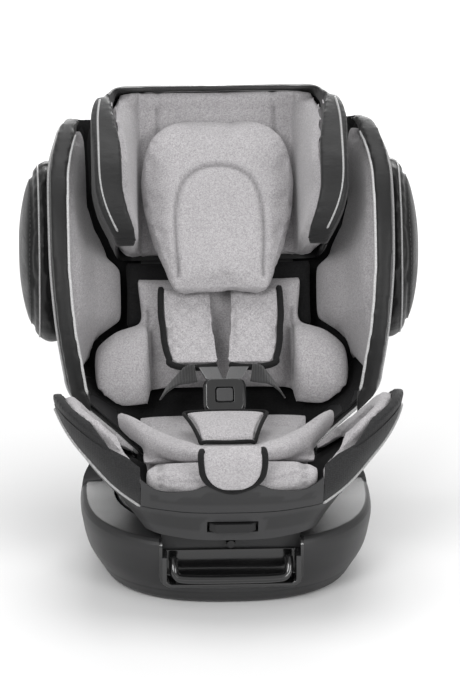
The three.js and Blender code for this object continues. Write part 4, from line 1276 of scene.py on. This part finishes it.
def make_seat_wings():
    """Light pads inside the seat's sides, lapping over their top edge."""
    wing = cut(seat_solid(5.2), seat_solid(21), above_line(SEAT_PIPING, -0.6))
    keep(wing, box(119, 320, -300, 36, 172, 300))
    lap = cut(seat_solid(15), seat_solid(32))
    keep(lap, above_line(SEAT_PIPING, -8), box(119, 320, -300, 30, 150, 300))
    cut(lap, above_line(BAND_TOP, -1.5), inside_corner(LINING_INNER, 26))
    weld(wing, lap)
    cut(wing, inside_corner(LINING_INNER, 26))
    pad("seat_wing_cover_right", [keep_biggest(wing)], melange, "seat_wing_pad_right",
        voxel=4.0, relax=7, shrink=2.6, cap=7.0)


# ------------------------------------------------------------------ seat cushion and front tongue
def sew_cushion(ob):
    surface = surface_of(ob)
    front = ((-240, 176), (-240, 190), (-236, 200), (-226, 212), (-212, 216))
    for side in (-1, 1):
        line = project(surface, [(side * 95, y, z) for y, z in front], (0, -1, 0.25))
        line += project(surface, [(side * 95, y, 260) for y in (-205, -185, -165, -148)],
                        STRAIGHT_UP)
        groove(ob, line, depth=3.2, width=4.0)
    projected_groove(ob, surface, [(x, -300, 210) for x in range(-110, 111, 10)],
                     (0, -0.8, 0.6), depth=1.0, width=3.0, shade=0.35)
    return []


def tongue_sections():
    """Rings along the tongue on the seat's front edge, and its right edge (x, point)."""
    centre_line = [(-203, 214), (-211, 226), (-221, 236), (-231, 234), (-237.5, 222),
                   (-239, 207), (-236.5, 193), (-233, 184)]
    # Share of its length, half width; share of its length, half thickness
    widths = [(0, 31), (0.2, 38), (0.45, 41), (0.7, 39), (0.86, 31), (0.95, 21), (1, 12)]
    thicknesses = [(0, 3.0), (0.12, 5.0), (0.9, 5.0), (1, 2.2)]
    path = smooth_path([(0, y, z) for y, z in centre_line], 3.0)
    rings, edge = [], []
    for i, p in enumerate(path):
        share = i / (len(path) - 1)
        a, b = path[max(0, i - 1)], path[min(len(path) - 1, i + 1)]
        t = (b - a) / np.linalg.norm(b - a)
        out = np.array([0, t[2], -t[1]])
        if out[1] > 0:
            out = -out
        half, thick = curve(widths, share), curve(thicknesses, share)
        ring = []
        for k in range(28):
            angle = 2 * math.pi * k / 28
            x = half * squared(math.cos(angle), 0.55)
            h = thick * squared(math.sin(angle), 0.8)
            ring.append(tuple(p + np.array([x, 0, 0]) - out * 3.0 + out * h))
        rings.append(ring)
        edge.append((half + 1.6, p - out * 3.0))
    return rings, edge


def trim_tongue(ob):
    edge = tongue_sections()[1]
    right = [(half, p[1], p[2]) for half, p in edge]
    left = [(-half, p[1], p[2]) for half, p in reversed(edge)]
    tip = (0, right[-1][1] + 0.6, right[-1][2] - 3.0)
    path = right[::4] + [right[-1], tip, left[0]] + left[4::4]
    return [tagged(tube("front_roll_binding", smooth_path(path, 2.5), 4.2, black_fabric, 12),
                   "dark_fabric")]


def make_cushion():
    pad("seat_cushion_cover", ["seat_cushion"], melange, "seat_cushion",
        voxel=5.0, relax=8, shrink=3.0, cap=7.0, finish=sew_cushion)
    pad("front_roll_cover", [loft(tongue_sections()[0])], melange, "front_roll",
        voxel=2.6, relax=4, shrink=0.8, cap=3.0, finish=trim_tongue)


# ------------------------------------------------------------------ backrest padding
def trim_back_rim(ob):
    outer = []
    for y, z in smooth_path(BACK_PIPING, 14.0):
        u, n = to_back(y, z)
        if -60 < u < 408:
            outer.append((min(back_x(u, n), envelope_x(y, z)) + 0.3, y, z))
    outer_piping = tube("back_piping_right", smooth_path(outer, 3.5), 2.2, silver, 10)
    inner = []
    for u in (20, 60, 110, 160, 210, 260, 300, 335, 360, 380):
        n = straight(BACK_PIPING_UN, u) + 19.5
        inner.append(on_back(min(back_x(u, n) - 27, 203), u, n))
    inner = even_out(nearest(surface_of(ob), smooth_path(inner, 4.0), 0.6), 6)
    inner_piping = tube("back_inner_piping_right", inner, 2.1, pale_piping, 10)
    return [tagged(outer_piping, "dark_fabric"), tagged(inner_piping, "light_fabric")]


def make_back_rims():
    # Front view of the right rim below its rounded top corner (x, u)
    front_view = [(0, -200), (260, -200), (260, 320), (234, 348), (227, 374), (219, 392),
                  (209, 403), (198, 408), (184, 409), (172, 405), (160, 404), (0, 404)]
    rim = cut(back_solid(0.3), back_solid(27))
    keep(rim, before_back(0.6), back_behind_seat(), below_top(BACK_TOP),
         box(1, 330, -330, 450, 0, 700))
    cut(rim, before_back(22), back_block(-100, 500, -28.6, 300, -179, 179),
        box(-120, 120, -300, 500, 0, 400), back_block(-100, 500, -90, -20, -104.5, 104.5))
    keep(rim, prism(front_view, -120, 320, on_back))
    pad("back_rim_pad_right", [keep_biggest(rim)], leatherette, "back_rim_right",
        slot="dark_fabric", voxel=4.0, relax=8, shrink=1.8, cap=5.0, finish=trim_back_rim)


def make_back_wings():
    """Light pads that slope from the backrest's middle out to the rims."""
    # Inner edge (u, x)
    inner_edge = [(-60, 179), (78, 179), (90, 176), (104, 168), (117, 154), (125, 142),
                  (132, 133), (142, 132), (202, 132), (216, 148), (240, 160), (264, 172),
                  (300, 181), (420, 183)]
    wing = back_solid(9.4)
    rings = []
    for u in np.arange(-95, 471, 9.4):
        n, x = straight(BACK_PIPING_UN, u) + 9, curve(inner_edge, u)
        half = [(x, -80), (x, 2), (x + (204 - x) * 0.6, 2 + (n - 2) * 0.5), (204, n),
                (204, 330)]
        rings.append([on_back(a, float(u), b) for a, b in half + mirror(half)])
    cut(wing, loft(rings), before_back(9))
    keep(wing, back_above_step(), back_behind_seat(), back_block(-60, 400, -14, 240, 120, 320))
    cut(wing, box(-320, 0, -400, 500, 0, 800))
    pad("back_wing_cover_right", [keep_biggest(wing)], melange, "back_wing_pad_right",
        voxel=4.2, relax=6, shrink=2.0, cap=6.0)


def make_back_shade_lining():
    """A thin black layer behind the wing pads, as painted shade in the gaps between the pads."""
    lining = cut(back_solid(8.75), back_solid(9.3))
    cut(lining, before_back(-4), back_block(-100, 500, -90, -22, -105, 105))
    keep(lining, back_above_step(), back_behind_seat(), below_top(BACK_TOP - 1))
    lining.name = "back_shade_lining"
    harden(lining, black_fabric, bevel=0)
    register(lining, "seat")


def make_back_pad():
    # Black fabric on the back pad is painted shade: the pad shows only in the gap between the
    # insert and the wing pads.
    pad("back_pad_cover", ["back_pad"], black_fabric, "back_pad", slot="dark_fabric",
        voxel=4.5, relax=3, shrink=1.2, cap=3.0)


# ------------------------------------------------------------------ side pods
POD_X, POD_U, POD_N, POD_HALF_U = 246, 228, 18, 130


def pod_ring(scale, x, count=48):
    """The pod's oval outline, scaled about its middle."""
    return [on_back(x, POD_U + POD_HALF_U * scale * math.cos(t),
                    POD_N + (101 + 7 * math.cos(t)) * scale * math.sin(t)) for t in turn(count)]


def closed_pod_line(surface, scale, lift):
    ring = pod_ring(scale, 260)
    return project(surface, ring + ring[:1], (1, 0, 0), lift)


def pod_edge_path(surface):
    """The outline shot inwards onto the pod's edge, and softened."""
    centre = Vector(on_back(POD_X, POD_U, POD_N))
    path = []
    for point in pod_ring(1.0, POD_X, 72):
        point = Vector(point)
        outward = point - centre
        outward.x = 0
        outward.normalize()
        hit, normal, _, _ = surface.ray_cast((point + outward * 60) * MM, -outward)
        path.append(hit / MM + normal * 0.4 if hit is not None else point)
    return [(path[i - 1] + path[i] * 2 + path[(i + 1) % len(path)]) / 4
            for i in range(len(path))]


def gather_pod(ob):
    """Small folds round the edge, strongest round the upper front."""
    co, no = coords(ob.data), normals(ob.data)
    u, n = to_back(co[:, 1] / MM, co[:, 2] / MM)
    across, along = (n - POD_N) / 104, (u - POD_U) / POD_HALF_U
    angle = np.arctan2(across, along)
    radius = np.hypot(across, along)
    fold = (np.sin(angle * 34 + 2.2 * np.sin(angle * 5.0))
            * np.exp(-((radius - 0.93) / 0.10) ** 2)
            * (0.35 + 0.65 * np.clip(np.cos(angle - 0.9), 0, 1)))
    fold *= np.clip((co[:, 0] / MM - 236) / 12, 0, 1)
    set_coords(ob.data, co + no * (fold * 0.9 * MM)[:, None])


def trim_pod(ob):
    groove(ob, closed_pod_line(surface_of(ob), 0.80, 0.0), depth=3.2, width=4.2)
    surface = surface_of(ob)
    stitching = stitches("pod_stitch_right", closed_pod_line(surface, 0.76, 0.2), thread_dark,
                         length=4.2, gap=2.4, radius=0.5, lift=0.3, surface=surface)
    edge = smooth_path(pod_edge_path(surface), 3.0, closed=True)
    piping = tube("pod_piping_right", edge, 1.5, silver, closed=True)
    gather_pod(ob)
    return [tagged(stitching, "dark_fabric"), tagged(piping, "dark_fabric")]


def make_pods():
    pad("side_pod_cover_right", ["side_pod_right"], leather_pod, "side_pod_right",
        slot="dark_fabric", voxel=4.2, relax=26, shrink=1.6, cap=7.0, finish=trim_pod)


# ------------------------------------------------------------------ headrest
HEAD_PATH = list(smooth_path(HEAD_EDGE, 6.0))


def head_ring(u, inset):
    rear, front = curve(HEAD_REAR_WIDTH, u), curve(HEAD_FRONT_WIDTH, u)
    radius = HEAD_CORNER - inset
    half = [(rear - HEAD_CORNER + radius * math.cos(a),
             HEAD_REAR + HEAD_CORNER + radius * math.sin(a))
            for a in np.linspace(-math.pi / 2, 0, 10)]
    for n in (30, 50, 70, 90, 110, 130, 165, 200):
        t = min(1, max(0, (n - 12) / 78))
        half.append((rear + (front - rear) * t * t * (3 - 2 * t) - inset
                     - (max(0, n - 130) * 0.057), n))
    return half + mirror(half)


def head_solid(inset, behind_roll=False):
    """The headrest's outside taken in by the inset, and by the roll's thickness if asked."""
    bottom = HEAD_LOW - (40 if inset > 0 or behind_roll else 0)
    rings = []
    for u in [bottom] + list(np.arange(HEAD_LOW + 8, 440, 9)) + [447, HEAD_HIGH]:
        depth = inset + (curve(HEAD_ROLL, u) if behind_roll else 0)
        drop = min(depth, 8 + inset) * min(1, max(0, (u - 400) / 55))
        rings.append([on_back(x, u - drop, n) for x, n in head_ring(float(u), depth)])
    return loft(rings)


def head_front(distance):
    """All that lies in front of the headrest's edge moved back by the distance."""
    outline = [(100, 300), (100, HEAD_PATH[0][1] - distance)]
    outline += [(u - distance * 0.5, n - distance) for u, n in HEAD_PATH]
    outline += [(HEAD_HIGH + 1 - distance * 0.5, -80), (520, -80), (520, 300)]
    return prism(outline, -300, 300, un_along_x)


def below_head(top):
    return back_block(100, top, -80, 300, -300, 300)


def outside_middle(x):
    return weld(box(-300, -x, -300, 500, 0, 800), box(x, 300, -300, 500, 0, 800))


def trim_head(ob):
    surface = surface_of(ob)
    forward = Vector(on_back(0, 0, 1)) - Vector(on_back(0, 0, 0))
    direction = (forward + Vector((0, -0.4, 0))).normalized()
    pieces = []
    for side, label in SIDES:
        line = [on_back(side * (curve(HEAD_FRONT_WIDTH, u) - 9), u, n + 30)
                for u, n in HEAD_PATH[::2] if 227 < u < 428]
        line = even_out(project(surface, line, direction, lift=0.6, reach=120), 5)
        piping = tube("headrest_piping_" + label, smooth_path(line, 3.0), 1.7, silver)
        pieces.append(tagged(piping, "dark_fabric"))
    return pieces


def make_head_cover():
    """Leatherette skin with a thick roll round the front of each wing."""
    # Front view of the right half (x, u)
    front_view = [(200, 150), (200, 430), (154, 432), (149, 440), (143, 447.5), (134, 452.5),
                  (122, 455), (60, 454), (0, 452.5)]
    roll = keep(cut(head_solid(0), head_solid(0, behind_roll=True)), head_front(26),
                outside_middle(100))
    cover = weld(cut(head_solid(0), head_solid(6)), roll)
    cut(cover, head_front(0), below_head(HEAD_LOW))
    keep(cover, prism(front_view + mirror(front_view[:-1]), -120, 320, on_back))
    pad("headrest_cover_skin", [keep_biggest(cover)], leather_head, "headrest_cover",
        body="headrest", slot="dark_fabric", voxel=3.4, relax=6, shrink=0.0, cap=4.0,
        simulate=False, finish=trim_head)


def sew_head_lining(ob):
    surface = surface_of(ob)
    for side in (-1, 1):
        line = [on_back(side * x, u, 60)
                for x, u in ((78, 300), (79, 340), (80, 380), (80, 420), (79, 446))]
        projected_groove(ob, surface, line, OUT_OF_BACK, depth=2.6, width=3.4)
    return []


def make_head_lining():
    roll_room = keep(cut(head_solid(-2), head_solid(0.6, behind_roll=True)), head_front(26.6),
                     outside_middle(99.4))
    rings = []
    for u in [150, 217] + list(np.arange(230, 450, 12)) + [455, 475]:
        x = curve(HEAD_FRONT_WIDTH, u) - max(14.5, curve(HEAD_ROLL, u)) - 1
        n = straight(HEAD_EDGE, u)
        t = ease(min(1, max(0, (u - 424) / 20)))
        half = [(104, -2 + 16 * t), (108, 4 + 12 * t), (112, 12 + 8 * t),
                (max(116, x - 6), max(16, n - 34)), (max(117, x - 1), max(20, n - 14)),
                (max(118, x), max(24, n)), (max(118, x), 330)]
        rings.append([on_back(a, float(u), b) for a, b in half + mirror(half)])
    front_lip = keep(head_solid(6.8), head_front(15))
    lining = weld(head_solid(10.6), front_lip)
    cut(lining, loft(rings), head_front(1.0), roll_room, below_head(HEAD_LOW + 1))
    pad("headrest_lining", [keep_biggest(lining)], melange, "headrest_pad", body="headrest",
        voxel=3.8, relax=5, shrink=1.6, cap=5.0, finish=sew_head_lining)


def sew_pillow(ob):
    # Right half of the arched seam (x, u)
    arch = [(59, 174), (60, 200), (60.5, 235), (59, 268), (54, 292), (43, 311), (24, 323),
            (0, 327)]
    line = [on_back(x, u, 160) for x, u in arch + mirror(arch[:-1])]
    dense_groove(ob, surface_of(ob), line, depth=3.6, width=3.8)
    return []


def make_pillow():
    # Right half of the front view (x, u)
    half = [(0, 151), (40, 151.5), (62, 156), (72, 170), (78, 190), (88, 214), (97, 240),
            (103, 268), (106.5, 300), (107, 326), (103, 356), (93, 381), (76, 398), (54, 408),
            (28, 412.5), (0, 413.5)]
    # Rear profile (u, n)
    rear = [(153, 71), (175, 58), (200, 46.5), (230, 32), (260, 20.5), (300, 10.5),
            (330, 5.5), (370, 3.4), (405, 3.4), (414, 8)]
    # Share of the half width, share of the full thickness
    thinning = [(0, 1.0), (0.46, 1), (0.8, 0.95), (0.92, 0.84), (1, 0.66)]
    outline = smooth_path(half + mirror(half[1:-1]), 5.0, closed=True)
    sections = []
    for x in np.linspace(-108, 108, 25):
        f = 24 * curve(thinning, abs(x) / 108)
        front = [(404, 12 + f * 0.8), (380, 17 + f), (330, 24 + f), (290, 33 + f),
                 (250, 44 + f), (210, 57 + f), (175, 68 + f), (160, 71 + f * 0.8)]
        sections.append([on_back(x, u, n) for u, n in rear + front])
    pillow = keep(loft(sections), prism(outline, -20, 130, on_back))
    pad("head_pillow_cover", [pillow], melange, "head_pillow", body="headrest",
        voxel=4.2, relax=14, shrink=3.4, cap=8.0, finish=sew_pillow)


# ------------------------------------------------------------------ infant insert
# Sections of a back bolster: x, then its outline (u, n)
BOLSTER = [
    (97.6, [(6, 44), (14, 52), (32, 62), (56, 65), (80, 62), (104, 52), (118, 42), (125, 26),
            (127, 10), (127, 2), (44, 2), (26, 18)]),
    (106, [(5, 52), (15, 63), (32, 72), (56, 74), (80, 71), (106, 58), (120, 45), (127, 28),
           (129, 10), (129, 2), (44, 2), (24, 20)]),
    (124, [(4, 58), (15, 69), (32, 76), (56, 76), (80, 73), (104, 61), (118, 47), (125, 29),
           (127, 10), (127, 2), (46, 2), (24, 22)]),
    (148, [(4, 58), (15, 68), (32, 75), (56, 75), (78, 71), (98, 60), (109, 47), (116, 29),
           (117, 10), (117, 2), (46, 2), (25, 24)]),
    (165, [(6, 57), (16, 66), (32, 72), (54, 72), (72, 68), (86, 59), (95, 47), (101, 30),
           (102, 10), (102, 4), (48, 4), (28, 28)]),
    (175.5, [(9, 55), (18, 62), (33, 67), (50, 67), (64, 63), (75, 55), (82, 45), (87, 31),
             (88, 14), (88, 8), (50, 8), (32, 30)])]
# A leg bolster: x, y, z, half depth, half height
LEG = [(30, -150, 208, 14, 12), (80, -118, 203, 24, 18), (120, -62, 204, 30, 20),
       (146, -8, 202, 22, 16)]
# Grooves across the right leg bolster: depth, width, shade, points (x, y)
LEG_GROOVES = [
    (1.8, 2.6, 1.0, ((112, -58), (95, -86), (78, -104), (60, -120), (44, -134))),
    (1.4, 2.2, 0.6, ((112, -76), (95, -102), (78, -119), (60, -133), (46, -144))),
    (3.0, 3.0, 1.0, ((97, -50), (99, -66), (97, -84), (94, -104), (92, -120)))]


def sew_insert_back(ob):
    surface = surface_of(ob)
    seam = ((99, 122), (98, 105), (97, 85), (97, 60), (96, 40), (96, 26))
    for side in (-1, 1):
        line = [on_back(side * x, u, 200) for x, u in seam]
        dense_groove(ob, surface, line, depth=3.6, width=3.2)
    return []


def make_insert_back():
    bolsters = []
    for side, _ in SIDES:
        bolster = loft([[on_back(side * x, u, n) for u, n in ring] for x, ring in BOLSTER])
        keep(bolster, back_solid(20.8, seat_inset=0.3), seat_solid(22.4))
        bolsters.append(keep_biggest(bolster))
    centre = weld(
        prism([(46, 2), (24, 24), (60, 26), (122, 25), (122, 2)], -97, 97, un_along_x),
        prism([(112, 2), (112, 24), (160, 24), (190, 20), (198, 2)], -115, 115, un_along_x))
    pad("insert_back_cover", bolsters + [centre], melange, "insert_back",
        voxel=4.2, relax=14, shrink=2.4, cap=8.0, finish=sew_insert_back)


def sew_insert_seat(ob):
    surface = surface_of(ob)
    for side, _ in SIDES:
        for depth, width, shade, points in LEG_GROOVES:
            projected_groove(ob, surface, [(side * x, y, 320) for x, y in points],
                             (0, -0.34, 0.94), depth, width, shade)
    return []


def make_insert_seat():
    parts = []
    for side, _ in SIDES:
        rings = []
        for x in (28, 38, 50, 65, 80, 95, 110, 122, 134, 142, 148):
            y, z, depth, height = (curve(LEG, x, column) for column in (1, 2, 3, 4))
            k = 0.62 if x in (28, 148) else 0.9 if x in (38, 142) else 1.0
            rings.append([(side * x, y + depth * k * squared(math.cos(a), 0.8),
                           z + height * k * squared(math.sin(a), 0.8)) for a in turn(24)])
        parts.append(loft(rings))
    # Side view of the flat base (y, z)
    floor = prism([(92, 163), (92, 174), (40, 172), (-40, 178), (-100, 190), (-124, 190),
                   (-124, 181), (-100, 174), (-40, 164), (40, 160)], -117.5, 117.5, yz_along_x)
    parts.append(floor)
    for part in parts:
        keep(part, seat_solid(10.5))
    cut(floor, box(-21, 21, 4, 18, 100, 230))  # slot for the crotch strap
    pad("insert_seat_cover", parts, melange, "insert_seat",
        voxel=4.0, relax=7, shrink=2.6, cap=7.0, finish=sew_insert_seat)


# ------------------------------------------------------------------ harness pads
# Right shoulder pad: u, n, centre x, half width
SHOULDER = [(172, 44.5, 46, 38), (168, 46.5, 46, 40), (150, 54.5, 46, 41), (130, 63, 46, 41),
            (112, 71.5, 45, 40), (95, 80, 45, 39), (80, 87.5, 44, 37.5), (68, 94, 43, 35),
            (62, 97, 42, 31)]
# Crotch pad: y, z of its top, half width
CROTCH = [(9, 208, 54.5), (-2, 209, 53.5), (-16, 208.8, 50), (-30, 208, 46.5),
          (-44, 206.2, 43), (-58, 203, 39.5), (-68, 199.6, 37), (-73, 196.4, 35)]
CROTCH_DROP = 4.5  # from its top to its middle


def shoulder_sections():
    """Rings of the right shoulder pad, and its outer edge."""
    rings, edge = [], []
    for i, (u, n, centre, half_width) in enumerate(SHOULDER):
        thick = 8.5 if 0 < i < len(SHOULDER) - 1 else 5.0
        inner, outer = 5.0 + max(0.0, (u - 66)) * 0.075, centre + half_width - 7
        middle, half = (inner + outer) / 2, (outer - inner) / 2
        ring = []
        for k in range(26):
            angle = 2 * math.pi * k / 26
            x = middle + half * squared(math.cos(angle), 0.5)
            h = thick * squared(math.sin(angle), 0.8)
            ring.append(on_back(x, u - h * 0.45, n + h * 0.9))
        rings.append(ring)
        edge.append(on_back(outer + 1.6, u, n))
    return rings, edge


def quilt_shoulder(ob):
    """Diamond quilting pressed into the face, with faint painted shade in its lines."""
    co, no = coords(ob.data), normals(ob.data)
    u, _ = to_back(co[:, 1] / MM, co[:, 2] / MM)
    x = co[:, 0] / MM
    face = np.clip(no @ np.array([0, -0.8, 0.6]), 0, 1)
    pitch, line_width = 26.0, 1.9
    lines = np.zeros(len(co))
    for slant in (1, -1):
        phase = (x + slant * u * 1.0) / pitch
        distance = np.abs(phase - np.round(phase)) * pitch * 0.707
        lines = np.maximum(lines, np.exp(-((distance / line_width) ** 2)))
    inside = np.clip((x - 10) / 5, 0, 1) * np.clip((u - 66) / 6, 0, 1)
    weight = lines * face * inside
    press(ob, weight, depth=1.1, shade=weight * 0.16)


def trim_shoulder(ob):
    # The binding's lower run (x, u, n)
    lower = ((73, 63, 96.6), (66, 59, 98.5), (56, 56.5, 99.6), (40, 55.5, 100),
             (22, 56.5, 99.6), (8, 59, 98.6))
    path = shoulder_sections()[1][:-1] + [on_back(*p) for p in lower]
    binding = tube("shoulder_pad_binding_right", smooth_path(path, 2.6), 4.4, black_fabric, 12)
    quilt_shoulder(ob)
    return [tagged(binding, "dark_fabric")]


def trim_crotch(ob):
    side = [(half + 1.0, y, z - CROTCH_DROP) for y, z, half in CROTCH]
    front = [(28, -76, 194.5), (0, -77, 194), (-28, -76, 194.5)]
    rear = [(-46, 12.5, 204), (0, 13.5, 205), (46, 12.5, 204)]
    ring = side + front + [(-x, y, z) for x, y, z in reversed(side)] + rear
    binding = tube("crotch_pad_binding", smooth_path(ring, 2.5, closed=True), 2.7,
                   black_fabric, 10, closed=True)
    return [tagged(binding, "dark_fabric")]


def make_harness_pads():
    pad("shoulder_pad_cover_right", [loft(shoulder_sections()[0])], pad_fabric,
        "shoulder_pad_right", voxel=2.6, relax=4, shrink=1.2, cap=3.5, finish=trim_shoulder)
    rings = []
    for i, (y, z, half) in enumerate(CROTCH):
        thick = 3.0 if i in (0, len(CROTCH) - 1) else 5.6
        rings.append([(half * squared(math.cos(a), 0.55), y,
                       z - CROTCH_DROP + thick * squared(math.sin(a), 0.8)) for a in turn(26)])
    pad("crotch_pad_cover", [loft(rings)], pad_fabric, "crotch_pad",
        voxel=2.6, relax=4, shrink=1.0, cap=3.5, finish=trim_crotch)


# ------------------------------------------------------------------ harness straps
def strap(name, points, node, width, thickness=2.0, across=None):
    """A flat strap with rounded edges; across is its width direction at each point."""
    path = [Vector(p) for p in smooth_path(points, 4.0)]
    across = across or [(1, 0, 0)] * len(points)
    steps = np.linalg.norm(np.diff(np.array(points, float), axis=0), axis=1)
    stations = np.concatenate([[0], np.cumsum(steps)]) / steps.sum()
    half, edge = width / 2, width / 2 + thickness * 0.3
    rings = []
    for i, (p, at) in enumerate(zip(path, np.linspace(0, 1, len(path)))):
        t = (path[min(len(path) - 1, i + 1)] - path[max(0, i - 1)]).normalized()
        wide = Vector([np.interp(at, stations, [d[k] for d in across]) for k in range(3)])
        wide = (wide - t * wide.dot(t)).normalized()
        out = t.cross(wide).normalized()
        ring = [p + wide * half * (-1 + 2 * k / 6) + out * (thickness / 2) for k in range(7)]
        ring.append(p + wide * edge)
        ring += [p + wide * half * (1 - 2 * k / 6) + out * (-thickness / 2) for k in range(7)]
        ring.append(p - wide * edge)
        rings.append(ring)
    register(loft(rings, name, webbing), "seat", node)


def make_straps():
    # Right-hand straps; shoulder and rear ones as x, u, n
    shoulder = ((40, 196, 32.5), (40, 168, 34), (40, 130, 51), (38, 95, 68.5), (34, 66, 84))
    lap = ((38, 57, 244), (56, 66, 236), (70, 84, 218), (80, 104, 198))
    lap_across = ((0.3, 0.5, 1), (-0.5, 0.5, 1), (-0.6, 0.6, 0.8), (-0.5, 0.8, 0.6))
    rear = ((57, 295, -41), (52, 240, -41), (40, 150, -41), (34, 95, -41))
    for side, label in SIDES:
        strap("shoulder_webbing_" + label, [on_back(side * x, u, n) for x, u, n in shoulder],
              "shoulder_strap_" + label, width=30)
        strap("lap_webbing_" + label, [(side * x, y, z) for x, y, z in lap],
              "lap_strap_" + label, width=24,
              across=[(x * side, y, z) for x, y, z in lap_across])
        strap("rear_webbing_" + label, [on_back(side * x, u, n) for x, u, n in rear],
              "rear_strap_" + label, width=40)
    strap("crotch_webbing", [(0, 10, 140), (0, 10, 178), (0, 14, 190), (0, 22, 197.5)],
          "crotch_strap", width=36, thickness=3.0)
    strap("adjuster_webbing",
          [(0, -191, 211.3), (0, -180, 206.5), (0, -164, 199), (0, -148, 193.5),
           (0, -124, 193.2), (0, -100, 193), (0, -84, 189.5)], "adjuster_strap", width=24)


# ------------------------------------------------------------------ stage (metres)
# Area lights: name, location, width, height, watts
LIGHTS = [
    ("key", (-1.5, -3.0, 2.4), 1.6, 1.4, 60),
    ("fill", (1.9, -2.9, 1.5), 1.4, 1.6, 46),
    ("top", (0.1, 0.5, 3.0), 1.8, 1.8, 34),
    ("rear", (0.4, 3.2, 1.1), 1.8, 1.6, 48)]
LIGHT_AIM = Vector((0, 0, 0.3))
CAMERA_AIM = Vector((0.006, 0.0, 0.298))
CAMERA_TURN, CAMERA_RISE = math.radians(-2.5), math.radians(20)
CAMERA_DISTANCE = 9.7


def make_floor():
    corners = [(-9000, -9000, 0), (9000, -9000, 0), (9000, 12000, 0), (-9000, 12000, 0)]
    floor = make_object("floor", corners, [(0, 1, 2, 3)])
    m = Material("floor")
    clouds = m.remap(m.noise(scale=3, detail=2), span=(0.3, 0.7), to=(0, 0.3))
    colour = m.mix(clouds, (0.80, 0.80, 0.80), (0.78, 0.78, 0.785))
    floor.data.materials.append(m.finish(colour, 0.75))
    floor.location.z = -0.0004  # just under the base


def point_along(ob, direction):
    ob.rotation_mode = "QUATERNION"
    ob.rotation_quaternion = direction.to_track_quat("-Z", "Y")
    COLLECTION.objects.link(ob)


def make_lights():
    world = bpy.data.worlds.new("studio")
    world.use_nodes = True
    background = world.node_tree.nodes["Background"]
    background.inputs[0].default_value = (1, 1, 1, 1)
    background.inputs[1].default_value = 0.62
    bpy.context.scene.world = world
    for name, location, width, height, watts in LIGHTS:
        light = bpy.data.lights.new(name, "AREA")
        light.shape = "RECTANGLE"
        light.size, light.size_y = width, height
        light.energy = watts
        ob = bpy.data.objects.new(name, light)
        ob.location = location
        point_along(ob, LIGHT_AIM - Vector(location))


def make_camera():
    lens = bpy.data.cameras.new("camera")
    lens.sensor_width = 36
    lens.lens = 372
    lens.clip_start, lens.clip_end = 0.5, 60
    camera = bpy.data.objects.new("camera", lens)
    away = Vector((math.sin(CAMERA_TURN) * math.cos(CAMERA_RISE),
                   -math.cos(CAMERA_TURN) * math.cos(CAMERA_RISE), math.sin(CAMERA_RISE)))
    camera.location = CAMERA_AIM + away * CAMERA_DISTANCE
    point_along(camera, -away)
    bpy.context.scene.camera = camera
    bpy.context.scene.view_settings.view_transform = "Standard"


# ------------------------------------------------------------------ build
make_seat_tub()
make_back_cover()
make_housing()
make_tray()
make_dome_lip()
make_handle_bezel()
make_release_handle()
dress_cad_parts()
make_seat_rims()
make_seat_wings()
make_cushion()
make_back_rims()
make_back_wings()
make_back_shade_lining()
make_back_pad()
make_pods()
make_head_cover()
make_head_lining()
make_pillow()
make_insert_back()
make_insert_seat()
make_harness_pads()
make_straps()
simulate_pads()
finish_pads()
make_floor()
make_lights()
make_camera()
